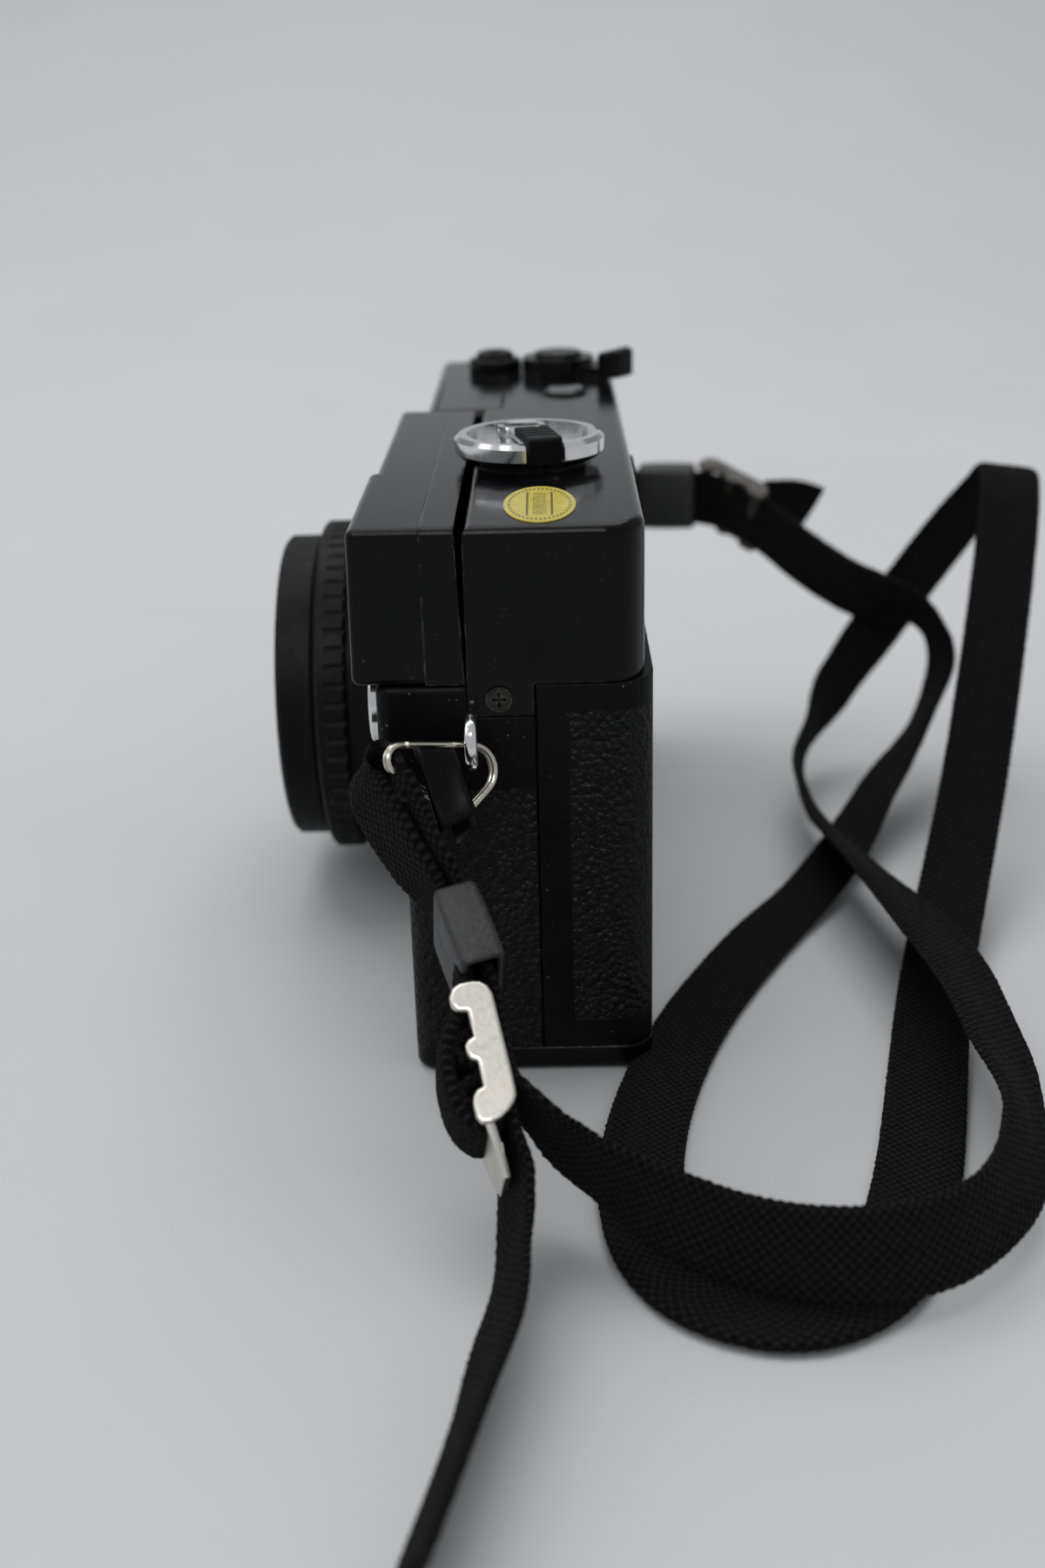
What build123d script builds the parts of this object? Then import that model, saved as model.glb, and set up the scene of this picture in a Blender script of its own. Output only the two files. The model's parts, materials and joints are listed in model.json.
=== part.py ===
from build123d import *
import os
from math import cos, degrees, pi, radians, sin, tan

os.makedirs("parts", exist_ok=True)

# Compact 35 mm film camera with a built-in flash, a rewind crank and a neck strap.
# X runs along the camera: the rewind end is +X and the winding end is -X.
# Y runs from the lens (-Y) to the back door (+Y), and Z is up from the base.

# Envelope
length = 132.0
depth = 32.6
height = 76.0
base_height = 3.6
cover_height = 20.0
half = length / 2
front_y = -depth / 2
back_y = depth / 2
seam_z = height - cover_height

# Walls and clearances
seam = 0.2
skin = 0.8
cover_wall = 1.5
door_wall = 1.6
running = 0.05
slide_gap = 0.2
front_corner = 3.0
back_corner = 5.7

# Lens axis and picture gate
lens_x = -6.0
lens_z = seam_z * 4 / 7
gate_width = 36.0
gate_height = 24.0
film_width = 35.0
film_y = 11.0
rail_height = 0.6

# Film chambers
cassette_radius = 13.25
cassette_x = 28.0
spindle_y = 0.8
cassette_floor = 6.5
chamber_ceiling = seam_z - 1.2
takeup_radius = 11.5
takeup_x = -46.0
takeup_floor = 8.0
spool_radius = 6.8
sprocket_x = -31.0
sprocket_radius = 6.0
sprocket_teeth = 8
perforation_pitch = 28.2

# Battery bay for two upright cells
cell_radius = 6.95
cell_length = 50.5
cell_x = 53.6
cell_clearance = 0.2

# Back door and its hinge at the winding end
door_edge_y = 1.2
hinge_x = -62.9
hinge_y = 13.2
knuckle_radius = 3.0
hinge_pin_radius = 1.0
knuckle_length = 10.0

# Front panel that carries the lens
panel_front = -19.0
panel_bottom = seam_z - 14.0
panel_side_y = -7.5
apron_half = 29.0
apron_bottom = 4.2

# Focusing housing at the front of the top
housing_front = -21.8
housing_back = -8.3
housing_seam = -12.5
housing_end_x = -13.0
housing_step_x = 34.0
housing_step = 1.0
housing_draft = 0.3
edge_round = 1.1
finder_x = 12.0
window_z = seam_z + 10.5

# Lens
ring_radius = 25.0
ring_front = -39.7
ring_back = -33.5
filter_radius = 22.6
filter_depth = 3.0
speed_ring_radius = 27.3
speed_ring_back = -28.4
mount_radius = 26.0
mount_flange_radius = 23.8
mount_flange_y = -22.0
barrel_radius = 15.0
barrel_travel = 2.0
glass_radius = 11.5

# Top controls
plate_clearance = 0.3
knob_radius = 10.5
knob_y = spindle_y
lever_x = -50.0
lever_y = 5.5
lever_angle = 55.0
lever_reach = 12.5
button_x = -52.0
button_y = -6.0
button_radius = 3.4
button_travel = 1.2

# Self-timer lever on the front panel, under the focusing housing
timer_x = 57.5
timer_radius = 3.5
timer_z = seam_z - timer_radius - 0.2
timer_thickness = 1.4
timer_reach = 12.0

# Flash and the slider that frees it
release_slide_x = -55.5
release_slide_z = seam_z + 9.0
release_slide_travel = 3.0
flash_left = -44.2
flash_right = -14.6
flash_back_y = -4.2
flash_bottom = seam_z + 2.0
flash_travel = 15.0

# Strap fittings
lug_y = -6.85
lug_z = seam_z - 7.75
lug_thickness = 1.4
lug_radius = 3.55
lug_hole = 1.9

# Planes and levels worked out from the sizes above
chassis_front = front_y + skin
chassis_back = back_y - door_wall - seam
chassis_end = half - skin
chassis_door_end = half - door_wall - seam
chassis_top = seam_z - seam
lens_axis = Axis((lens_x, 0, lens_z), (0, 1, 0))
lens_profile = Plane((lens_x, 0, lens_z), x_dir=(1, 0, 0), z_dir=(0, 0, 1))
film_bed = film_y - rail_height
sprocket_y = film_y - sprocket_radius
cell_front_y = chassis_front + 0.9 + cell_clearance + cell_radius
cell_back_y = cell_front_y + 2 * cell_radius + cell_clearance


def vertical_profile(x, y):
    """Upright plane through a vertical axis: local x is the radius, local y is the height."""
    return Plane((x, y, 0), x_dir=(1, 0, 0), z_dir=(0, -1, 0))


def vertical_axis(x, y):
    return Axis((x, y, 0), (0, 0, 1))


def dome_drop(radius, sagitta, x):
    """How far a spherical surface has fallen away from its apex at distance x from the axis."""
    sphere = (radius**2 + sagitta**2) / (2 * sagitta)
    return sphere - (sphere**2 - x**2) ** 0.5


# Chassis: one casting with the film chambers, light box, battery bay and hinge knuckles
hinge_pocket_x = hinge_x + knuckle_radius + 1.3
hinge_pocket_y = hinge_y - knuckle_radius - 1.0
with BuildPart() as chassis:
    with BuildSketch(Plane.XY.offset(base_height)) as plan:
        Polygon(
            (chassis_end, chassis_front),
            (chassis_end, door_edge_y - seam),
            (chassis_door_end, door_edge_y - seam),
            (chassis_door_end, chassis_back),
            (hinge_pocket_x, chassis_back),
            (hinge_pocket_x, hinge_pocket_y),
            (-chassis_end, hinge_pocket_y),
            (-chassis_end, chassis_front),
            align=None,
        )
        fillet(plan.vertices().group_by(Axis.Y)[0], front_corner - skin)
        back_vertices = plan.vertices().group_by(Axis.Y)[-1]
        fillet(back_vertices.sort_by(Axis.X)[-1], back_corner - door_wall - seam)
    extrude(amount=chassis_top - base_height)
    # Knuckles at the top and bottom of the door hinge
    for knuckle_z in (base_height, chassis_top - knuckle_length):
        with BuildSketch(Plane.XY.offset(knuckle_z)):
            with Locations((hinge_x, hinge_y)):
                Circle(knuckle_radius)
            with Locations((hinge_pocket_x, hinge_pocket_y - 0.5)):
                Rectangle(
                    hinge_pocket_x + chassis_end,
                    hinge_y - hinge_pocket_y + 0.5,
                    align=(Align.MAX, Align.MIN),
                )
        extrude(amount=knuckle_length)
    with BuildSketch(Plane.XY.offset(base_height)):
        with Locations((hinge_x, hinge_y)):
            Circle(hinge_pin_radius)
    extrude(amount=chassis_top - base_height, mode=Mode.SUBTRACT)
    # Cassette chamber, open to the back
    with BuildSketch(Plane.XY.offset(cassette_floor)):
        with Locations((cassette_x, spindle_y)):
            Circle(cassette_radius)
            Rectangle(2 * cassette_radius, depth, align=(Align.CENTER, Align.MIN))
    extrude(amount=chamber_ceiling - cassette_floor, mode=Mode.SUBTRACT)
    # Take-up chamber and sprocket recess, open to the back
    with BuildSketch(Plane.XY.offset(takeup_floor)):
        with Locations((takeup_x, spindle_y)):
            Circle(takeup_radius)
            Rectangle(2 * takeup_radius, depth, align=(Align.CENTER, Align.MIN))
        with Locations((sprocket_x, sprocket_y)):
            Circle(sprocket_radius + 1.0)
            Rectangle(2 * sprocket_radius + 2.0, depth, align=(Align.CENTER, Align.MIN))
    extrude(amount=chamber_ceiling - takeup_floor, mode=Mode.SUBTRACT)
    # Film channel between the chambers
    with BuildSketch(Plane.XZ.offset(-film_bed)):
        with Locations(((cassette_x + takeup_x) / 2, lens_z)):
            Rectangle(cassette_x - takeup_x, film_width + 2.0)
    extrude(amount=-depth, mode=Mode.SUBTRACT)
    # Light box that narrows from the picture gate to the shutter
    with BuildSketch(Plane.XZ.offset(-film_bed)):
        with Locations((lens_x, lens_z)):
            Rectangle(gate_width, gate_height)
    with BuildSketch(Plane.XZ.offset(8.0)):
        with Locations((lens_x, lens_z)):
            Rectangle(gate_width * 0.6, gate_height * 0.8)
    loft(mode=Mode.SUBTRACT)
    with BuildSketch(Plane.XZ.offset(7.5)):
        with Locations((lens_x, lens_z)):
            Circle(19.3)
    extrude(amount=depth, mode=Mode.SUBTRACT)
    # Battery bay, open at the bottom
    with BuildSketch(Plane.XY.offset(base_height)):
        with Locations((cell_x, cell_front_y), (cell_x, cell_back_y)):
            Circle(cell_radius + cell_clearance)
    extrude(amount=cell_length + 0.5, mode=Mode.SUBTRACT)
    # Film rails above and below the picture gate
    with BuildSketch(Plane.XZ.offset(-film_bed)):
        for side in (-1, 1):
            with Locations((lens_x, lens_z + side * (gate_height / 2 + 1.4))):
                Rectangle(gate_width + 2.0, 1.2)
            with Locations((lens_x, lens_z + side * (film_width / 2 + 0.5))):
                Rectangle(gate_width + 2.0, 0.9)
    extrude(amount=-rail_height)
    # Spindle bores and the tripod socket's seat
    with BuildSketch(Plane.XY.offset(base_height)):
        with Locations((cassette_x, spindle_y), (takeup_x, spindle_y)):
            Circle(3.0 + running)
        with Locations((sprocket_x, sprocket_y)):
            Circle(2.0 + running)
    extrude(amount=chassis_top - base_height, mode=Mode.SUBTRACT)
    with BuildSketch(Plane.XY.offset(base_height)):
        with Locations((lens_x, 0)):
            Circle(5.0 + running)
    extrude(amount=4.0, mode=Mode.SUBTRACT)
    # Grooves for the foam light seals above and below the film channel
    with BuildSketch(Plane.XZ.offset(-chassis_back)):
        with Locations((0, chamber_ceiling - 2.0), (0, cassette_floor - 1.5)):
            Rectangle(2 * cassette_x + 2 * cassette_radius + 10, 1.4)
    extrude(amount=1.2, mode=Mode.SUBTRACT)
chassis.part.label = "chassis"
export_step(chassis.part, "parts/chassis.step")

# Bottom cover: a shallow pan under the chassis
door_width = 18.0
door_depth = 28.6
door_hinge_x = cell_x - door_width / 2 - 0.4
door_plate = 1.8
door_knuckle = door_plate / 2
door_y = (cell_front_y + cell_back_y) / 2
release_x = -46.0
release_y = -9.0
release_radius = 2.0
tripod_radius = 3.175
tripod_depth = 5.5
with BuildPart() as bottom_cover:
    with BuildSketch() as plan:
        Rectangle(length, depth)
        front = plan.vertices().group_by(Axis.Y)[0]
        fillet(front, front_corner)
        fillet(plan.vertices().group_by(Axis.Y)[-1], back_corner - door_wall)
    extrude(amount=base_height)
    fillet(bottom_cover.faces().sort_by(Axis.Z)[0].edges(), 1.3)
    # Pockets above the floor of the pan, either side of the tripod boss
    with BuildSketch(Plane.XY.offset(base_height)):
        with Locations((-35.0, 0)):
            RectangleRounded(42.0, depth - 6.0, 3.0)
        with Locations((24.0, 0)):
            RectangleRounded(30.0, depth - 6.0, 3.0)
    extrude(amount=-1.4, mode=Mode.SUBTRACT)
    # Opening for the battery door
    with BuildSketch():
        with Locations((door_hinge_x - 1.4, door_y)):
            Rectangle(door_width + 2.2, door_depth, align=(Align.MIN, Align.CENTER))
    extrude(amount=base_height, mode=Mode.SUBTRACT)
    with BuildSketch():
        with Locations((lens_x, 0)):
            Circle(5.0 + running)
        with Locations((release_x, release_y)):
            Circle(release_radius + running)
    extrude(amount=base_height, mode=Mode.SUBTRACT)
    # Bores for the battery door's hinge pin
    with BuildSketch(Plane.XZ.offset(-door_y)):
        with Locations((door_hinge_x, door_knuckle)):
            Circle(0.4 + running)
    extrude(amount=door_depth / 2 + 0.75, both=True, mode=Mode.SUBTRACT)
bottom_cover.part.label = "bottom_cover"
export_step(bottom_cover.part, "parts/bottom_cover.step")

# Threaded insert for a tripod
with BuildPart() as tripod_socket:
    with BuildSketch():
        with Locations((lens_x, 0)):
            Circle(5.0)
    extrude(amount=base_height + 3.9)
    with BuildSketch():
        with Locations((lens_x, 0)):
            Circle(tripod_radius)
    extrude(amount=tripod_depth, mode=Mode.SUBTRACT)
tripod_socket.part.label = "tripod_socket"
export_step(tripod_socket.part, "parts/tripod_socket.step")

# Front panel: a band under the focusing housing and an apron around the lens
with BuildPart() as front_panel:
    with BuildSketch(Plane.XY.offset(panel_bottom)) as plan:
        Polygon(
            (half, panel_side_y),
            (half, panel_front),
            (-half, panel_front),
            (-half, panel_side_y),
            (-chassis_end, panel_side_y),
            (-chassis_end, chassis_front),
            (chassis_end, chassis_front),
            (chassis_end, panel_side_y),
            align=None,
        )
        fillet(plan.vertices().group_by(Axis.Y)[0], 1.8)
        inner = plan.vertices().filter_by_position(Axis.Y, chassis_front - 0.1, chassis_front + 0.1)
        fillet(inner, front_corner - skin)
    extrude(amount=chassis_top - panel_bottom)
    with BuildSketch(Plane.XZ.offset(-chassis_front)) as apron:
        with Locations((lens_x, apron_bottom)):
            Rectangle(2 * apron_half, panel_bottom + 4.0 - apron_bottom, align=(Align.CENTER, Align.MIN))
        fillet(apron.vertices().group_by(Axis.Y)[0], 7.0)
    extrude(amount=chassis_front - panel_front)
    fillet(front_panel.faces().sort_by(Axis.Y)[0].edges(), 0.9)
    with BuildSketch(Plane.XZ.offset(-chassis_front)):
        with Locations((lens_x, lens_z)):
            Circle(19.3)
    extrude(amount=depth, mode=Mode.SUBTRACT)
    with BuildSketch(Plane.XZ.offset(-panel_front)):
        with Locations((timer_x, timer_z)):
            Circle(1.0 + running)
    extrude(amount=-2.2, mode=Mode.SUBTRACT)
front_panel.part.label = "front_panel"
export_step(front_panel.part, "parts/front_panel.step")

# Leatherette on the front, wrapped round both ends
cover_top = panel_bottom - seam
cover_runs = (
    (1, lens_x + apron_half + 0.3, door_edge_y - seam),
    (-1, apron_half - lens_x + 0.3, hinge_pocket_y),
)
with BuildPart() as leatherette:
    for side, inner_x, end_y in cover_runs:
        with BuildSketch(Plane.XY.offset(base_height)) as plan:
            Polygon(
                (side * inner_x, front_y),
                (side * half, front_y),
                (side * half, end_y),
                (side * inner_x, end_y),
                align=None,
            )
            outer = plan.vertices().filter_by_position(Axis.X, side * half - 0.1, side * half + 0.1)
            fillet(outer.sort_by(Axis.Y)[0], front_corner)
        extrude(amount=cover_top - base_height)
    # The covering is one skin thick: the chassis fills the rest
    for side, inner_x, end_y in cover_runs:
        with BuildSketch(Plane.XY.offset(base_height - 1.0)) as plan:
            Polygon(
                (side * inner_x - side, chassis_front),
                (side * chassis_end, chassis_front),
                (side * chassis_end, end_y + 1.0),
                (side * inner_x - side, end_y + 1.0),
                align=None,
            )
            inner = plan.vertices().filter_by_position(
                Axis.X, side * chassis_end - 0.1, side * chassis_end + 0.1
            )
            fillet(inner.sort_by(Axis.Y)[0], front_corner - skin)
        extrude(amount=height, mode=Mode.SUBTRACT)
leatherette.part.label = "leatherette"
export_step(leatherette.part, "parts/leatherette.step")

# Side plates that carry the strap lugs
tongue_z = 51.8
with BuildPart() as side_plates:
    with BuildSketch(Plane.YZ.offset(chassis_end)):
        with Locations((panel_side_y + 0.1, panel_bottom - seam)):
            Rectangle(door_edge_y - panel_side_y - seam - 0.1, tongue_z - panel_bottom, align=Align.MIN)
    extrude(amount=skin)
    with BuildSketch(Plane.YZ.offset(-half)):
        with Locations((panel_side_y + 0.1, panel_bottom - seam)):
            Rectangle(hinge_pocket_y - panel_side_y - 0.1, tongue_z - panel_bottom, align=Align.MIN)
    extrude(amount=skin)
side_plates.part.label = "side_plates"
export_step(side_plates.part, "parts/side_plates.step")

# Strap lugs: an eyelet on a foot, with its hole along Y
lug_reach = 2.75
with BuildPart() as strap_lugs:
    with BuildSketch(Plane.XZ.offset(-lug_y)):
        for side in (-1, 1):
            with Locations((side * (half + lug_reach), lug_z)):
                Circle(lug_radius)
                Rectangle(lug_reach, 2 * lug_radius - 1.6, align=(Align.MAX if side > 0 else Align.MIN, Align.CENTER))
    extrude(amount=lug_thickness / 2, both=True)
    with BuildSketch(Plane.XZ.offset(-lug_y)):
        with Locations((half + lug_reach, lug_z), (-half - lug_reach, lug_z)):
            Circle(lug_hole)
    extrude(amount=lug_thickness, both=True, mode=Mode.SUBTRACT)
    for side in (-1, 1):
        with BuildSketch(Plane.YZ.offset(side * half)):
            with Locations((lug_y, lug_z)):
                Rectangle(lug_thickness, 2 * lug_radius)
        extrude(amount=-side * lug_thickness, mode=Mode.SUBTRACT)
strap_lugs.part.label = "strap_lugs"
export_step(strap_lugs.part, "parts/strap_lugs.step")

# Top cover: a hollow moulding, full depth at the winding end and stepped back behind the housing
cover_front = -7.3
cover_back = back_y - 1.1
lever_hole = 3.0 + running
sleeve_outer = 4.0
with BuildPart() as top_cover:
    with BuildSketch(Plane.XY.offset(seam_z)) as plan:
        Polygon(
            (half, cover_front),
            (half, cover_back),
            (-half, cover_back),
            (-half, front_y),
            (housing_end_x, front_y),
            (housing_end_x, cover_front),
            align=None,
        )
        fillet(plan.vertices().group_by(Axis.Y)[-1], back_corner)
        fillet(plan.vertices().group_by(Axis.Y)[0].sort_by(Axis.X)[0], front_corner)
    extrude(amount=cover_height)
    fillet(top_cover.faces().sort_by(Axis.Z)[-1].edges(), 1.2)
    with BuildSketch(Plane.XY.offset(seam_z)):
        offset(plan.sketch, amount=-cover_wall, mode=Mode.ADD)
    extrude(amount=cover_height - cover_wall, mode=Mode.SUBTRACT)
    # Tongues down both ends for the cover screws
    for side, end_y in ((1, door_edge_y - seam), (-1, hinge_pocket_y)):
        with BuildSketch(Plane.XY.offset(tongue_z)):
            with Locations((side * half, cover_front)):
                Rectangle(skin, end_y - cover_front, align=(Align.MAX if side > 0 else Align.MIN, Align.MIN))
        extrude(amount=seam_z - tongue_z)
    # Raised seat under the rewind knob
    with BuildSketch(Plane.XY.offset(height)):
        with Locations((cassette_x, knob_y)):
            Circle(knob_radius - 2.5)
    extrude(amount=0.7)
    # Well for the flash head and holes for the controls
    with BuildSketch(Plane.XY.offset(height)):
        with Locations((flash_left - slide_gap, front_y + cover_wall)):
            Rectangle(
                flash_right - flash_left + 2 * slide_gap,
                flash_back_y - front_y - cover_wall + slide_gap,
                align=Align.MIN,
            )
        with Locations((lever_x, lever_y)):
            Circle(lever_hole)
        with Locations((button_x, button_y)):
            Circle(1.5 + running)
    extrude(amount=-2 * cover_wall, mode=Mode.SUBTRACT)
    with BuildSketch(Plane.XY.offset(height + 1.0)):
        with Locations((cassette_x, knob_y)):
            Circle(sleeve_outer + running)
    extrude(amount=-3 * cover_wall, mode=Mode.SUBTRACT)
    # Eyepiece opening at the back
    with BuildSketch(Plane.XZ.offset(-back_y)):
        with Locations((finder_x, window_z)):
            Rectangle(11.0, 7.5)
    extrude(amount=4.0, mode=Mode.SUBTRACT)
    # Slot for the flash slider
    with BuildSketch(Plane.XZ.offset(-front_y)):
        with Locations((release_slide_x, release_slide_z)):
            Rectangle(3.0 + 2 * running, 1.6 + 2 * running)
        with Locations((release_slide_x + release_slide_travel / 2, release_slide_z)):
            Rectangle(3.0 + 2 * running + release_slide_travel, 1.6 + 2 * running)
    extrude(amount=-2 * cover_wall, mode=Mode.SUBTRACT)
top_cover.part.label = "top_cover"
export_step(top_cover.part, "parts/top_cover.step")

# Focusing housing in two halves, joined at a seam along the camera
with BuildPart() as housing_front_half:
    # The front steps back over the lens
    for x0, x1, step in ((housing_step_x, half, 0.0), (housing_end_x, housing_step_x, housing_step)):
        with BuildSketch(Plane.YZ.offset(x0)) as section:
            Polygon(
                (housing_front + step, seam_z),
                (housing_seam, seam_z),
                (housing_seam, height),
                (housing_front + step + housing_draft, height),
                align=None,
            )
            fillet(section.vertices().sort_by(Axis.X)[:2], edge_round)
        extrude(amount=x1 - x0)
    end_face = housing_front_half.faces().sort_by(Axis.X)[-1]
    fillet(end_face.edges().sort_by(Axis.Y)[:-1], edge_round * 0.8)
    # Pockets for the windows
    with BuildSketch(Plane.XZ.offset(-housing_front)):
        with Locations((finder_x, window_z)):
            RectangleRounded(20.0, 13.0, 1.5)
        with Locations((half - 13.0, window_z), (housing_end_x + 9.0, window_z)):
            RectangleRounded(12.0, 11.0, 1.5)
    extrude(amount=-2.6, mode=Mode.SUBTRACT)
housing_front_half.part.label = "housing_front"
export_step(housing_front_half.part, "parts/housing_front.step")

with BuildPart() as housing_rear_half:
    with BuildSketch(Plane.YZ.offset(housing_end_x)):
        Polygon(
            (housing_seam, seam_z),
            (housing_back + 0.7, seam_z),
            (housing_back, height),
            (housing_seam, height),
            align=None,
        )
    extrude(amount=half - housing_end_x)
    top_edges = housing_rear_half.edges().group_by(Axis.Z)[-1]
    fillet(top_edges.sort_by(Axis.X)[-1], edge_round)
housing_rear_half.part.label = "housing_rear"
export_step(housing_rear_half.part, "parts/housing_rear.step")

# Windows of the viewfinder and the focusing system
pocket_floor = housing_front + 2.6
with BuildPart() as finder_window:
    with BuildSketch(Plane.XZ.offset(-pocket_floor)):
        with Locations((finder_x, window_z)):
            RectangleRounded(20.0, 13.0, 1.5)
    extrude(amount=1.0)
finder_window.part.label = "finder_window"
export_step(finder_window.part, "parts/finder_window.step")

with BuildPart() as focus_windows:
    with BuildSketch(Plane.XZ.offset(-pocket_floor)):
        with Locations((half - 13.0, window_z), (housing_end_x + 9.0, window_z)):
            RectangleRounded(12.0, 11.0, 1.5)
    extrude(amount=1.0)
focus_windows.part.label = "focus_windows"
export_step(focus_windows.part, "parts/focus_windows.step")

with BuildPart() as eyepiece:
    with BuildSketch(Plane.XZ.offset(-cover_back)):
        with Locations((finder_x, window_z)):
            RectangleRounded(15.0, 11.0, 1.5)
    extrude(amount=-1.1)
    with BuildSketch(Plane.XZ.offset(-cover_back)):
        with Locations((finder_x, window_z)):
            Rectangle(10.9, 7.4)
    extrude(amount=cover_wall)
    with BuildSketch(Plane.XZ.offset(-back_y)):
        with Locations((finder_x, window_z)):
            RectangleRounded(8.5, 5.5, 0.8)
    extrude(amount=1.4, mode=Mode.SUBTRACT)
eyepiece.part.label = "eyepiece"
export_step(eyepiece.part, "parts/eyepiece.step")

# Cross-head screws through the tongues
screw_radius = 1.65
screw_z = 54.1
with BuildPart() as cover_screws:
    for side in (-1, 1):
        with BuildSketch(Plane.YZ.offset(side * half)):
            with Locations((lug_y + 3.5, screw_z)):
                Circle(screw_radius)
        extrude(amount=side * 0.35)
        with BuildSketch(Plane.YZ.offset(side * (half + 0.35))):
            with Locations((lug_y + 3.5, screw_z)):
                Rectangle(1.9, 0.45)
                Rectangle(0.45, 1.9)
        extrude(amount=-side * 0.25, mode=Mode.SUBTRACT)
cover_screws.part.label = "cover_screws"
export_step(cover_screws.part, "parts/cover_screws.step")

# Lens mount: a stepped sleeve with the bore that the focusing barrel slides in
bore_radius = barrel_radius + running
speed_seat = speed_ring_radius - 3.3
with BuildPart() as lens_mount:
    with BuildSketch(lens_profile) as section:
        Polygon(
            (bore_radius, ring_back),
            (speed_seat, ring_back),
            (speed_seat, speed_ring_back + 0.1),
            (mount_radius, speed_ring_back + 0.1),
            (mount_radius, mount_flange_y),
            (mount_flange_radius, mount_flange_y),
            (mount_flange_radius, panel_front),
            (19.3, panel_front),
            (19.3, panel_front - 5.0),
            (bore_radius, panel_front - 5.0),
            align=None,
        )
    revolve(axis=lens_axis)
lens_mount.part.label = "lens_mount"
export_step(lens_mount.part, "parts/lens_mount.step")

# Front ring with the filter thread and the blank bezel inside it
with BuildPart() as front_ring:
    with BuildSketch(lens_profile) as section:
        Polygon(
            (barrel_radius + 0.3, ring_back),
            (barrel_radius + 0.3, ring_front + filter_depth + 1.6),
            (filter_radius, ring_front + filter_depth),
            (filter_radius, ring_front),
            (ring_radius - 0.6, ring_front),
            (ring_radius, ring_front + 0.6),
            (ring_radius, ring_back - 0.8),
            (ring_radius - 0.5, ring_back),
            align=None,
        )
    revolve(axis=lens_axis)
front_ring.part.label = "front_ring"
export_step(front_ring.part, "parts/front_ring.step")

# Film speed ring, with finger grooves round it
groove_count = 60
with BuildPart() as film_speed_ring:
    with BuildSketch(lens_profile) as section:
        Polygon(
            (speed_seat + running, ring_back + 0.1),
            (speed_ring_radius - 0.5, ring_back + 0.1),
            (speed_ring_radius, ring_back + 0.6),
            (speed_ring_radius, speed_ring_back - 0.5),
            (speed_ring_radius - 0.5, speed_ring_back),
            (speed_seat + running, speed_ring_back),
            align=None,
        )
    revolve(axis=lens_axis)
    with BuildSketch(Plane.XZ.offset(-speed_ring_back)):
        with Locations((lens_x, lens_z)):
            with PolarLocations(speed_ring_radius + 0.35, groove_count):
                Circle(0.7)
    extrude(amount=3.4, mode=Mode.SUBTRACT)
film_speed_ring.part.label = "film_speed_ring"
export_step(film_speed_ring.part, "parts/film_speed_ring.step")

# Focusing barrel with its two glasses
barrel_front = ring_front + 3.7
barrel_back = panel_front - 6.0
with BuildPart() as lens_barrel:
    with BuildSketch(lens_profile):
        Polygon(
            (barrel_radius, barrel_back),
            (barrel_radius, barrel_front + 0.4),
            (barrel_radius - 0.4, barrel_front),
            (glass_radius + 1.2, barrel_front),
            (glass_radius + running, barrel_front + 1.4),
            (glass_radius + running, barrel_front + 4.0),
            (9.0, barrel_front + 4.0),
            (9.0, barrel_back),
            align=None,
        )
    revolve(axis=lens_axis)
lens_barrel.part.label = "lens_barrel"
export_step(lens_barrel.part, "parts/lens_barrel.step")

front_sagitta = 2.0
rear_sagitta = 1.2
with BuildPart() as front_element:
    with BuildSketch(lens_profile):
        with BuildLine():
            apex = barrel_front + 0.5
            halfway = glass_radius / 2
            rim = (glass_radius, apex + front_sagitta)
            ThreePointArc((0, apex), (halfway, apex + dome_drop(glass_radius, front_sagitta, halfway)), rim)
            Polyline(rim, (glass_radius, barrel_front + 4.0), (0, barrel_front + 4.0), (0, apex))
        make_face()
    revolve(axis=lens_axis)
front_element.part.label = "front_element"
export_step(front_element.part, "parts/front_element.step")

with BuildPart() as rear_element:
    with BuildSketch(lens_profile):
        with BuildLine():
            apex = barrel_back - 0.3
            rear_radius = 9.0 - running
            halfway = rear_radius / 2
            rim = (rear_radius, apex - rear_sagitta)
            ThreePointArc((0, apex), (halfway, apex - dome_drop(rear_radius, rear_sagitta, halfway)), rim)
            Polyline(rim, (rear_radius, barrel_back - 3.4), (0, barrel_back - 3.4), (0, apex))
        make_face()
    revolve(axis=lens_axis)
rear_element.part.label = "rear_element"
export_step(rear_element.part, "parts/rear_element.step")

# Shutter: a round unit in the chassis with two swinging blades in front of its aperture
aperture_radius = 5.0
blade_lobe = 5.7
blade_pivot_x = 3.0
blade_pivot_z = 13.0
blade_thickness = 0.15
shutter_front = -18.4
shutter_centre = Plane((lens_x, shutter_front, lens_z), x_dir=(1, 0, 0), z_dir=(0, -1, 0))
with BuildPart() as shutter_unit:
    with BuildSketch(shutter_centre):
        Circle(19.2)
    extrude(amount=shutter_front + 7.5)
    with BuildSketch(shutter_centre):
        with Locations((-blade_pivot_x, blade_pivot_z), (blade_pivot_x, blade_pivot_z)):
            Circle(0.8)
    extrude(amount=0.6)
    with BuildSketch(shutter_centre):
        Circle(aperture_radius)
    extrude(amount=-depth, mode=Mode.SUBTRACT)
shutter_unit.part.label = "shutter_unit"
export_step(shutter_unit.part, "parts/shutter_unit.step")


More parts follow.
